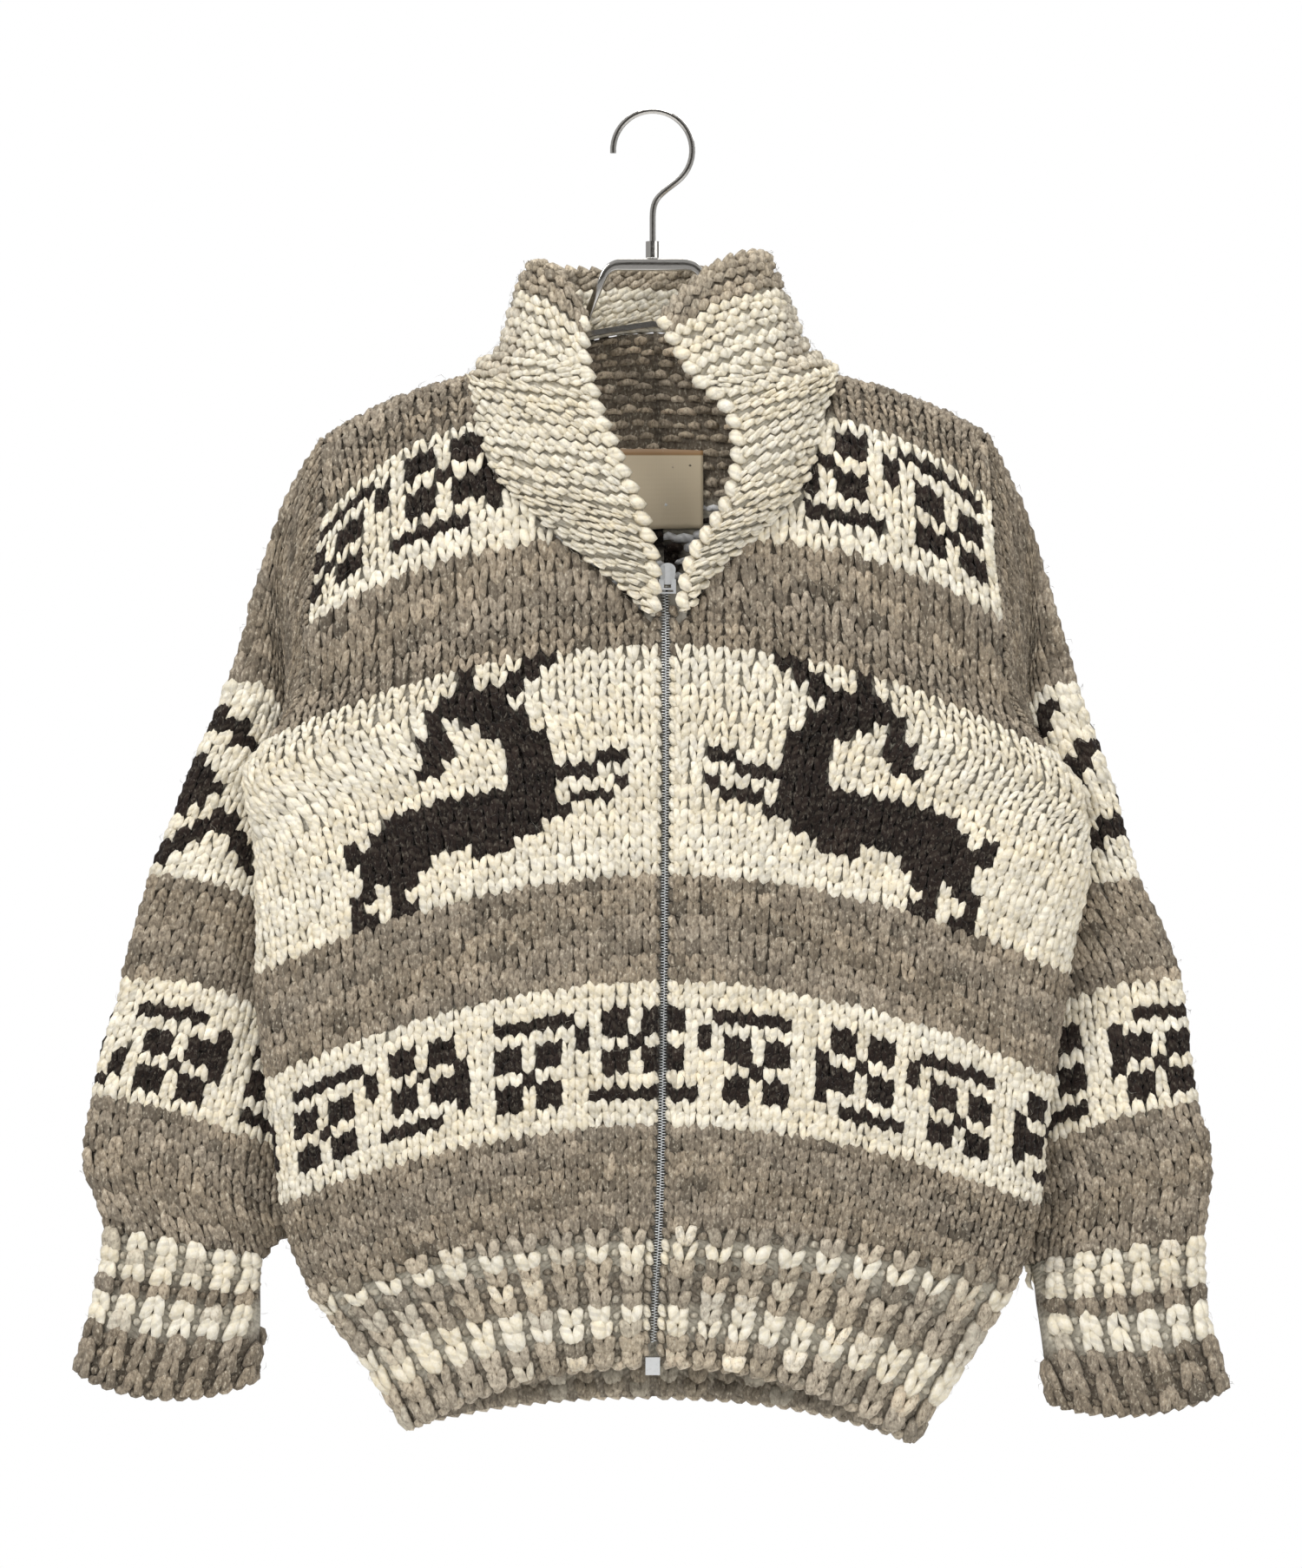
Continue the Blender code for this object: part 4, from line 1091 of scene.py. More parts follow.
@dataclass
class Lie:
    """Where copies of a strand lie, and how each differs."""

    column: Array
    row: Array
    flip: Array
    wide: Array
    stretch: Array
    plump: Array
    lift: Array
    face: float = 1.0
    base: float = 0.0

    @classmethod
    def even(cls, column: Array, row: Array, flip: Array | float = 1.0, lift: float = 0.0) -> Lie:
        """Copies that are all alike."""
        one = np.ones(len(column))
        return cls(column, row, flip * one, one.copy(), one.copy(), one.copy(), lift * one)

    def inside(self) -> Lie:
        """The same copies on the inner face of the cloth."""
        self.face, self.base = -1.0, -WALL
        return self

    def loosen(self, rng: np.random.Generator, amount: float = 1.0) -> Lie:
        """Makes the copies as uneven as knitting by hand.

        Args:
            rng: The script's own seeded generator.
            amount: How uneven, where 1 is plain knitting.

        Returns:
            The same copies.
        """
        count = len(self.column)
        self.column = self.column + rng.normal(0, 0.045 * amount, count)
        self.row = self.row + rng.normal(0, 0.085 * amount, count)
        self.wide = self.wide * rng.normal(1, 0.13 * amount, count)
        self.stretch = self.stretch * rng.normal(1, 0.06 * amount, count)
        self.plump = self.plump * np.clip(rng.normal(1, 0.13 * amount, count), 0.68, 1.34)
        self.lift = self.lift + rng.normal(0, 0.26 * amount, count)
        return self


LEG = Strand(
    across=(0.01, 0.09, 0.22, 0.34, 0.38),
    along=(-0.55, -0.20, 0.38, 0.98, 1.32),
    rise=(-2.5, -0.8, 0.2, -0.5, -2.4),
    wide=(0.0, 2.35, 2.75, 2.45, 0.0),
    tall=(0.0, 1.9, 2.4, 1.9, 0.0),
)
RIB_LEG = Strand(
    across=(0.01, 0.10, 0.20, 0.28, 0.31),
    along=(-0.48, -0.16, 0.38, 0.92, 1.22),
    rise=(-2.0, 0.5, 1.6, 0.7, -1.7),
    wide=(0.0, 3.3, 4.1, 3.5, 0.0),
    tall=(0.0, 2.4, 3.0, 2.4, 0.0),
)
BUMP = Strand(
    across=(-0.70, -0.38, 0.0, 0.38, 0.70),
    along=(-0.20, -0.05, 0.06, -0.05, -0.20),
    rise=(-2.6, 0.0, 0.9, 0.0, -2.6),
    wide=(0.0, 2.3, 2.9, 2.3, 0.0),
    tall=(0.0, 2.3, 3.0, 2.3, 0.0),
)
GARTER = Strand(
    across=(-0.66, -0.38, 0.0, 0.38, 0.66),
    along=(-0.26, -0.06, 0.09, -0.06, -0.26),
    rise=(-2.6, -0.2, 0.9, -0.2, -2.6),
    wide=(0.0, 2.8, 3.5, 2.8, 0.0),
    tall=(0.0, 2.5, 3.2, 2.5, 0.0),
)


@dataclass
class Yarn:
    """Strands gathered for one piece, until they become its mesh."""

    points: list[Array] = field(default_factory=list)
    faces: list[Array] = field(default_factory=list)
    tints: list[Array] = field(default_factory=list)
    twists: list[Array] = field(default_factory=list)
    count: int = 0

    def add(self, strand: Strand, panel: Panel, lie: Lie, tint: Array) -> None:
        """Lays one kind of strand over a panel, each copy in its own tint.

        Args:
            strand: The kind of strand.
            panel: The surface.
            lie: Where and how each copy lies.
            tint: Colour of each copy.
        """
        if not len(lie.column):
            return
        laid = strand.lay(panel, lie)
        self.put(laid, strand.faces(), strand.unwrapped(), tint)

    def put(self, laid: Array, faces: Array, twist: Array, tint: Array) -> None:
        """Adds copies of a small mesh, turned so that their faces point outwards.

        Args:
            laid: Points of each copy.
            faces: Triangles of one copy.
            twist: Length and turn of each point.
            tint: Colour of each copy.
        """
        copies, size = laid.shape[:2]
        a, b, c = (laid[:, faces[:, k]] for k in range(3))
        volume = (a * np.cross(b, c)).sum(axis=(1, 2))
        every = faces[None] + (np.arange(copies) * size)[:, None, None] + self.count
        every = np.where((volume < 0)[:, None, None], every[..., ::-1], every)
        self.points.append(laid.reshape(-1, 3))
        self.faces.append(every.reshape(-1, 3))
        self.tints.append(np.repeat(tint, size, axis=0))
        offset = np.arange(copies)[:, None, None] * np.array([0.37, 0.0])
        self.twists.append((twist[None] + offset).reshape(-1, 2))
        self.count += copies * size

    def mesh(self, name: str, finish: Finish) -> bpy.types.Object:
        """Makes the piece's mesh.

        Args:
            name: Name of the piece.
            finish: Its finish.

        Returns:
            The piece.
        """
        made = add_mesh(name, np.concatenate(self.points), np.concatenate(self.faces), finish)
        paint(made, np.concatenate(self.tints))
        unwrap(made, np.concatenate(self.twists))
        return made


def row_height(panel: Panel, column: Array, row: Array) -> tuple[Array, Array]:
    """Height in millimetres of the row at each stitch, and how many rows one stitch spans there.

    Args:
        panel: The surface.
        column: Columns of the stitches.
        row: Their rows.

    Returns:
        Heights, and 1, 2 or 4 where rows are squeezed together.
    """
    here = panel.at(column + 0.5, row, 0.0)
    tall = np.linalg.norm(panel.at(column + 0.5, row + 1.0, 0.0) - here, axis=-1)
    return tall, np.where(tall > CROWDED, 1, np.where(tall > PACKED, 2, 4))


def stitch_places(panel: Panel, low: float, high: float) -> tuple[Array, Array]:
    """Columns and rows of all the stitches of a panel between two rows.

    A stitch is left out where it would pass the panel's edge, and where rows are squeezed together
    only every second or fourth stays.

    Args:
        panel: The surface.
        low: First row.
        high: Row above the last.

    Returns:
        Column and row of each stitch's lower left corner.
    """
    rows = np.arange(low, high - 0.01)
    columns = np.arange(math.floor(panel.columns[0]), math.ceil(panel.columns[-1]))
    column, row = (grid.ravel() for grid in np.meshgrid(columns.astype(float), rows))
    start, end = panel.span(row + 0.5)
    keep = (column + 0.5 > start - 0.15) & (column + 0.5 < end + 0.12)
    column, row = column[keep], row[keep]
    tall, every = row_height(panel, column, row)
    keep = (np.round(row - low) % every == 0) & (tall > 0.7)
    return column[keep], row[keep]


def knit(
    yarn: Yarn, panel: Panel, places: tuple[Array, Array], tint: Array, rng: np.random.Generator
) -> None:
    """Lays the two legs of each V.

    Args:
        yarn: The piece that receives them.
        panel: The surface.
        places: Columns and rows of the stitches.
        tint: Tint of each stitch.
        rng: The script's own seeded generator.
    """
    column, row = places
    tall, every = row_height(panel, column, row)
    stretch = np.clip(every, 1, 3)
    plump = np.clip(tall * stretch / ROW_MM, 0.72, 1.08)
    for flip in (-1.0, 1.0):
        lie = Lie.even(column + 0.5, row + 0.0, flip, 0.0)
        lie.stretch = stretch * np.ones(len(column))
        lie.plump = plump
        shade = np.ones_like(tint)
        shade[:, :3] = np.clip(rng.normal(1, 0.07, (len(column), 1)), 0.8, 1.2)
        yarn.add(LEG, panel, lie.loosen(rng), tint * shade)


def fuzz(
    yarn: Yarn, panel: Panel, span: tuple[float, float], count: int, wool: Tint, rng: np.random.Generator
) -> None:
    """Loose fibres that stand off the wool, each a slim bent spindle with three sides.

    Args:
        yarn: The piece that receives them.
        panel: The surface.
        span: First and last row.
        count: How many are tried; those past the panel's edges are left out.
        wool: Chart of the colours.
        rng: The script's own seeded generator.
    """
    column = rng.uniform(panel.columns[0], panel.columns[-1], count)
    row = rng.uniform(*span, count)
    start, end = panel.span(row)
    keep = (column > start) & (column < end)
    column, row = column[keep], row[keep]
    turn = rng.uniform(0, 2 * math.pi, len(row))
    reach = rng.uniform(0.35, 1.0, len(row))
    rise = rng.uniform(2.6, 5.8, len(row))
    root = panel.at(column, row, 0.8)
    middle = panel.at(column + 0.5 * reach * np.cos(turn), row + 0.5 * reach * np.sin(turn), rise)
    bend = turn + rng.normal(0, 0.8, len(row))
    far = rise * rng.uniform(0.6, 1.1, len(row))
    tip = panel.at(column + reach * np.cos(bend), row + reach * np.sin(bend), far)
    ahead = tip - root
    side = np.cross(ahead, rng.normal(0, 1, ahead.shape))
    side = side / np.maximum(np.linalg.norm(side, axis=-1, keepdims=True), 1e-6)
    up = np.cross(ahead / np.maximum(np.linalg.norm(ahead, axis=-1, keepdims=True), 1e-6), side)
    angles = np.radians((0.0, 120.0, 240.0))[None, :, None]
    ring = middle[:, None] + 0.13 * (np.cos(angles) * side[:, None] + np.sin(angles) * up[:, None])
    laid = np.concatenate((root[:, None], ring, tip[:, None]), axis=1)
    faces = np.array([[0, 1, 2], [0, 2, 3], [0, 3, 1], [4, 2, 1], [4, 3, 2], [4, 1, 3]])
    twist = np.array([[0.0, 0.5], [0.5, 0.0], [0.5, 0.33], [0.5, 0.66], [1.0, 0.5]])
    chart = wool(np.floor(column).astype(int), np.floor(row).astype(int))
    tint = TONES[chart]
    tint[:, :3] = 0.75 * tint[:, :3] + 0.12
    yarn.put(laid, faces, twist, tint)


# ------------------------------------------------------------------ meshes
def add_mesh(name: str, points: Array, faces: Array, finish: Finish) -> bpy.types.Object:
    """Makes a smooth-shaded object from points in millimetres and triangles or quads.

    Args:
        name: The piece's name.
        points: Its points.
        faces: Corners of its faces, all with as many.
        finish: What it is made of.

    Returns:
        The object, at the origin.
    """
    mesh = bpy.data.meshes.new(name)
    sides = faces.shape[1]
    mesh.vertices.add(len(points))
    mesh.vertices.foreach_set("co", (points * MM).astype(np.float32).ravel())
    mesh.loops.add(faces.size)
    mesh.loops.foreach_set("vertex_index", faces.astype(np.int32).ravel())
    mesh.polygons.add(len(faces))
    mesh.polygons.foreach_set("loop_start", np.arange(0, faces.size, sides, dtype=np.int32))
    mesh.update(calc_edges=True)
    mesh.validate()
    mesh.shade_smooth()
    mesh.materials.append(finish.material())
    made = bpy.data.objects.new(name, mesh)
    bpy.context.scene.collection.objects.link(made)
    return made


def paint(made: bpy.types.Object, tints: Array) -> None:
    """Stores each point's tint where the wool's finish reads it."""
    layer = made.data.color_attributes.new("yarn", "FLOAT_COLOR", "POINT")
    layer.data.foreach_set("color", tints.astype(np.float32).ravel())


def unwrap(made: bpy.types.Object, twists: Array) -> None:
    """Stores each point's length and turn along its strand as the piece's UV map.

    Args:
        made: The piece.
        twists: Length and turn of each point.
    """
    corners = np.empty(len(made.data.loops), np.int32)
    made.data.loops.foreach_get("vertex_index", corners)
    layer = made.data.uv_layers.new(name="twist")
    layer.data.foreach_set("uv", twists[corners].astype(np.float32).ravel())


def grid_faces(rows: int, columns: int, ring: bool = False) -> Array:
    """Quads between neighbouring points of a grid, joined round when it is a ring.

    Args:
        rows: Points down the grid.
        columns: Points across it.
        ring: Whether the last column joins the first.

    Returns:
        Four corners for each face.
    """
    wide = columns if ring else columns - 1
    r, c = (grid.ravel() for grid in np.meshgrid(np.arange(rows - 1), np.arange(wide), indexing="ij"))
    n = (c + 1) % columns
    return np.stack([r * columns + c, r * columns + n, (r + 1) * columns + n, (r + 1) * columns + c], -1)


def closed_shell(outer: Array, inner: Array) -> tuple[Array, Array]:
    """A closed wall between two grids of the same shape: both faces, and a rim all round.

    Args:
        outer: The outer face's points.
        inner: The inner face's points.

    Returns:
        Points and faces.
    """
    rows, columns = outer.shape[:2]
    count = rows * columns
    sheet = grid_faces(rows, columns)
    index = np.arange(count).reshape(rows, columns)
    border = np.concatenate((index[0], index[1:, -1], index[-1, -2::-1], index[-2:0:-1, 0]))
    ahead = np.roll(border, -1)
    rim = np.stack([ahead, border, border + count, ahead + count], axis=-1)
    faces = np.concatenate((sheet, sheet[:, ::-1] + count, rim))
    points = np.concatenate((outer.reshape(-1, 3), inner.reshape(-1, 3)))
    a, b, c, d = (points[faces[:, k]] for k in range(4))
    if (a * np.cross(b, c)).sum() + (a * np.cross(c, d)).sum() < 0:
        faces = faces[:, ::-1]
    return points, faces


# ------------------------------------------------------------------ shader nodes
@dataclass(frozen=True)
class Wire:
    """A value inside a material, with arithmetic written as usual."""

    shade: Shade
    socket: bpy.types.NodeSocket

    def __add__(self, other: Link) -> Wire:
        """Sum."""
        return self.shade.math("ADD", self, other)

    def __radd__(self, other: Link) -> Wire:
        """Sum, with the other first."""
        return self.shade.math("ADD", other, self)

    def __sub__(self, other: Link) -> Wire:
        """Difference."""
        return self.shade.math("SUBTRACT", self, other)

    def __rsub__(self, other: Link) -> Wire:
        """Difference, with the other first."""
        return self.shade.math("SUBTRACT", other, self)

    def __mul__(self, other: Link) -> Wire:
        """Product."""
        return self.shade.math("MULTIPLY", self, other)

    def __rmul__(self, other: Link) -> Wire:
        """Product, with the other first."""
        return self.shade.math("MULTIPLY", other, self)

    def sine(self) -> Wire:
        """Sine of the value in radians."""
        return self.shade.math("SINE", self)

    def between(self, low: float, high: float) -> Wire:
        """0 below one value, 1 above the other, smooth in between.

        Args:
            low: Where it leaves 0.
            high: Where it reaches 1.

        Returns:
            The wire.
        """
        settings = {"interpolation_type": "SMOOTHSTEP"}
        links = {"Value": self, "From Min": low, "From Max": high}
        return self.shade.node("ShaderNodeMapRange", settings, links)


Link = Wire | float | tuple[float, ...]


class Shade:
    """Builds one material's nodes."""

    def __init__(self, name: str) -> None:
        """Starts a material with its shader and output.

        Args:
            name: The material's name.
        """
        self.material = bpy.data.materials.new(name)
        self.material.use_nodes = True
        self.tree = self.material.node_tree
        self.shader = self.tree.nodes["Principled BSDF"]

    def link(self, socket: bpy.types.NodeSocket, value: Link) -> None:
        """Puts a value on a socket: a link for a wire, or a constant.

        Args:
            socket: The socket.
            value: What goes on it.
        """
        if isinstance(value, Wire):
            self.tree.links.new(value.socket, socket)
        elif isinstance(value, tuple) and len(value) == 3 and socket.type == "RGBA":
            socket.default_value = (*value, 1.0)
        else:
            socket.default_value = value

    def node(self, kind: str, settings: dict, links: dict, output: int | str = 0) -> Wire:
        """Adds any node.

        Args:
            kind: Type of the node.
            settings: Its own properties.
            links: Values of its sockets by name or place.
            output: The output wanted.

        Returns:
            That output.
        """
        made = self.tree.nodes.new(kind)
        for key, value in settings.items():
            setattr(made, key, value)
        for key, value in links.items():
            self.link(made.inputs[key], value)
        return Wire(self, made.outputs[output])

    def math(self, operation: str, *values: Link) -> Wire:
        """Arithmetic on numbers."""
        return self.node("ShaderNodeMath", {"operation": operation}, dict(enumerate(values)))

    def mix(self, share: Link, first: Link, second: Link, blend: str = "MIX") -> Wire:
        """Mix of two colours."""
        settings = {"data_type": "RGBA", "blend_type": blend}
        return self.node("ShaderNodeMix", settings, {0: share, 6: first, 7: second}, 2)

    def place(self) -> Wire:
        """The point's place in the row's frame, in metres."""
        return self.node("ShaderNodeTexCoord", {}, {}, "Object")

    def split(self, vector: Wire) -> tuple[Wire, Wire, Wire]:
        """The three parts of a vector.

        Args:
            vector: A wire that carries a vector.

        Returns:
            X, Y and Z.
        """
        made = self.tree.nodes.new("ShaderNodeSeparateXYZ")
        self.link(made.inputs[0], vector)
        return tuple(Wire(self, made.outputs[k]) for k in range(3))

    def scaled(self, vector: Wire, factors: tuple[float, float, float]) -> Wire:
        """A vector, each of its parts times a factor."""
        return self.node("ShaderNodeVectorMath", {"operation": "MULTIPLY"}, {0: vector, 1: factors})

    def noise(self, where: Wire, scale: float, detail: float = 2.0) -> Wire:
        """Smooth noise from 0 to 1."""
        links = {"Vector": where, "Scale": scale, "Detail": detail, "Roughness": 0.6}
        return self.node("ShaderNodeTexNoise", {}, links, "Fac")

    def bump(self, height: Wire, distance: float, strength: float = 1.0) -> None:
        """Sends a height to the shader's normal. Distance is in metres."""
        links = {"Strength": strength, "Distance": distance, "Height": height}
        self.link(self.shader.inputs["Normal"], self.node("ShaderNodeBump", {}, links))

    def set(self, **values: Link) -> None:
        """Sets the shader's sockets, with underscores for spaces in their names."""
        for key, value in values.items():
            self.link(self.shader.inputs[key.replace("_", " ")], value)


# ------------------------------------------------------------------ finishes
@dataclass(frozen=True)
class Finish:
    """A finish by its name. Each kind adds its own nodes."""

    name: str

    def material(self) -> bpy.types.Material:
        """The finish's material, made once.

        Returns:
            The material.
        """
        made = bpy.data.materials.get(self.name)
        if made:
            return made
        shade = Shade(self.name)
        self.dress(shade)
        return shade.material

    def dress(self, shade: Shade) -> None:
        """Adds the finish's nodes to a new material."""
        raise NotImplementedError


@dataclass(frozen=True)
class WoolFinish(Finish):
    """Hand-spun wool: the yarn's own tint, flecks of other fibres, its twist with painted shade in its
    grooves, and its loose hairs.
    """

    twist: float = 2.2
    fleck_scale: float = 620.0

    def dress(self, shade: Shade) -> None:
        """Tint from the yarn attribute; its fourth number sets how strong the flecks are.

        Args:
            shade: Builds the nodes.
        """
        tint = shade.tree.nodes.new("ShaderNodeAttribute")
        tint.attribute_name = "yarn"
        colour, strength = Wire(shade, tint.outputs["Color"]), Wire(shade, tint.outputs["Alpha"])
        place = shade.place()
        u, v, _ = shade.split(shade.node("ShaderNodeUVMap", {"uv_map": "twist"}, {}))
        hairs = shade.noise(shade.scaled(place, (1.0, 1.0, 0.5)), self.fleck_scale, 4.0)
        clumps = shade.noise(place, 260.0, 2.0)
        dark = hairs.between(0.50, 0.66) * strength
        light = (1.0 - hairs).between(0.54, 0.68) * strength
        deep = shade.mix(dark * 0.70, colour, (0.085, 0.064, 0.048))
        flecked = shade.mix(light * 0.58, deep, (0.70, 0.63, 0.50))
        cloudy = shade.mix(0.16, flecked, clumps.between(0.30, 0.70) * 1.0, "OVERLAY")
        ply = ((u * self.twist + v) * (2 * math.pi)).sine()
        fibre = shade.noise(shade.scaled(place, (1.0, 1.0, 0.6)), 1500.0, 2.0)
        # Painted shade: the colour darkens in the grooves between the plies, where the twist's bump is low.
        ply_groove_painted_shade = shade.mix((0.0 - ply).between(0.35, 1.0) * 0.22, cloudy, (0.10, 0.085, 0.065))
        shade.set(Base_Color=ply_groove_painted_shade, Roughness=0.92 + 0.06 * hairs)
        shade.shader.inputs["Sheen Weight"].default_value = 0.06
        shade.shader.inputs["Sheen Roughness"].default_value = 0.5
        shade.shader.inputs["Specular IOR Level"].default_value = 0.10
        shade.bump(ply * 0.26 + fibre * 0.7 + hairs * 0.45, 0.0010, 1.0)


@dataclass(frozen=True)
class MetalFinish(Finish):
    """Bright metal with faint wear."""

    colour: tuple[float, float, float]
    roughness: float
    grain: float

    def dress(self, shade: Shade) -> None:
        """Roughness and tone drift with noise, drawn out along the piece's width.

        Args:
            shade: Builds the nodes.
        """
        place = shade.place()
        wear = shade.noise(place, 420.0, 4.0)
        drawn = shade.noise(shade.scaled(place, (0.25, 1.0, 1.0)), self.grain, 2.0)
        tone = shade.mix(wear.between(0.45, 0.75) * 0.20, self.colour, (0.42, 0.41, 0.40))
        shade.set(Base_Color=tone, Roughness=self.roughness + 0.16 * wear + 0.06 * drawn)
        shade.shader.inputs["Metallic"].default_value = 1.0
        shade.bump(drawn, 0.00003, 0.5)


@dataclass(frozen=True)
class TapeFinish(Finish):
    """Woven cotton tape in a fine herringbone."""

    colour: tuple[float, float, float]

    def dress(self, shade: Shade) -> None:
        """Two sines across and along make the weave, with a slant that turns every 2 mm.

        Args:
            shade: Builds the nodes.
        """
        x, _, z = shade.split(shade.place())
        slant = (x * 500.0).sine().between(-0.1, 0.1) * 2.0 - 1.0
        weave = ((z * 6200.0) + slant * x * 6200.0).sine()
        soil = shade.noise(shade.place(), 90.0, 3.0)
        dull = shade.mix(soil.between(0.4, 0.8) * 0.35, self.colour, (0.52, 0.48, 0.40))
        shade.set(Base_Color=dull, Roughness=0.80 + 0.10 * soil)
        shade.bump(weave, 0.00012, 0.7)


@dataclass(frozen=True)
class SatinFinish(Finish):
    """Woven satin label: a cream ground with a gold-brown folded top edge."""

    colour: tuple[float, float, float]
    edge: tuple[float, float, float]
    edge_z: float

    def dress(self, shade: Shade) -> None:
        """Fine weft lines, and the edge's colour above a height.

        Args:
            shade: Builds the nodes.
        """
        x, _, z = shade.split(shade.place())
        fold = z.between(self.edge_z - 0.0012, self.edge_z)
        lines = (z * 9000.0).sine() * 0.5 + (x * 7000.0).sine() * 0.2
        tone = shade.mix(shade.noise(shade.place(), 70.0, 3.0) * 0.25, self.colour, (0.56, 0.49, 0.37))
        shade.set(Base_Color=shade.mix(fold, tone, self.edge), Roughness=0.42 + 0.10 * lines)
        shade.shader.inputs["Sheen Weight"].default_value = 0.2
        shade.bump(lines, 0.00006, 0.6)


WOOL = WoolFinish("hand_spun_wool")
ZIP_METAL = MetalFinish("bright_zip_metal", (0.82, 0.83, 0.83), 0.26, 900.0)
STEEL = MetalFinish("polished_steel", (0.55, 0.53, 0.50), 0.05, 700.0)
# Painted shade: the tape's colour is darkened to stand for the shade between the zip's teeth.
TAPE_PAINTED_SHADE = TapeFinish("woven_tape", (0.40, 0.37, 0.31))
SATIN = SatinFinish("woven_label", (0.66, 0.55, 0.38), (0.33, 0.19, 0.08), -0.2220)


# ------------------------------------------------------------------ pieces
BODY = "cardigan_and_hanger"


@dataclass
class Maker:
    """What every sub-assembly shares: the seeded generator and a list of what has been made."""

    rng: np.random.Generator
    made: list[tuple[str, int]] = field(default_factory=list)

    def done(self, made: bpy.types.Object, slot: str, body: str, *nodes: str) -> bpy.types.Object:
        """Gives a piece its body, hides the CAD nodes that it stands for, and reports it.

        Args:
            made: The piece.
            slot: The record's material slot; not used.
            body: The body that it rides on.
            nodes: CAD nodes that it replaces.

        Returns:
            The same piece.
        """
        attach(made, body)
        if nodes:
            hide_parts(*nodes)
        self.made.append((made.name, len(made.data.polygons)))
        LOG.info("%s: %d faces on %s", made.name, len(made.data.polygons), body)
        return made


Tint = Callable[[Array, Array], Array]
Part = tuple[Panel, float, float, Tint]


def chained(
    panel: Panel, column: Array, row: Array, lift: float, pitch: float, plump: float
) -> tuple[Array, Array, Array]:
    """A braid of cast-off loops along a path over a panel.

    Args:
        panel: The surface.
        column: Columns of the path's points.
        row: Rows of the path's points.
        lift: Height above the surface.
        pitch: Length of a loop in millimetres.
        plump: Half-thickness of the yarn.

    Returns:
        Points of every loop, and the faces and twist of one.
    """
    path = panel.at(column, row, lift)
    normal = panel.at(column, row, lift + 1.0) - path
    run = np.concatenate(([0], np.cumsum(np.linalg.norm(np.diff(path, axis=0), axis=1))))
    count = max(3, int(run[-1] / pitch))
    places = (np.arange(count)[:, None] + np.array([0.0, 0.25, 0.6, 0.95, 1.3])) / count * run[-1]
    places = np.clip(places, 0, run[-1])
    middle = np.stack([np.interp(places, run, path[:, k]) for k in range(3)], axis=-1)
    up = np.stack([np.interp(places, run, normal[:, k]) for k in range(3)], axis=-1)
    ahead = np.gradient(middle, axis=1)
    ahead = ahead / np.maximum(np.linalg.norm(ahead, axis=-1, keepdims=True), 1e-6)
    side = np.cross(up, ahead)
    sides = 6
    turn = np.linspace(0, 2 * math.pi, sides, endpoint=False)
    size = np.array([0.0, 1.0, 1.15, 0.9, 0.0])[None, :, None, None] * plump
    sway = np.array([-0.9, -0.5, 0.4, 0.8, 0.6])[None, :, None] * plump * 0.5
    middle = middle + side * sway - up * (np.array([0.8, 0, 0, 0.2, 0.9]) * plump)[None, :, None]
    ring = middle[:, :, None] + size * (
        np.cos(turn)[None, None, :, None] * side[:, :, None] * 1.1
        + np.sin(turn)[None, None, :, None] * up[:, :, None]
    )
    body = ring[:, 1:4].reshape(count, -1, 3)
    tips = [ring[:, k].mean(1, keepdims=True) for k in (0, 4)]
    laid = np.concatenate((tips[0], body, tips[1]), 1)
    return laid, tube_faces(3, sides), tube_twist(3, sides)


def tone(wool: int, count: int, rng: np.random.Generator) -> Array:
    """Tints of a run of stitches in one wool."""
    place = np.arange(count, dtype=float)
    return spun(np.full(count, wool), place, place * 0.21, rng)


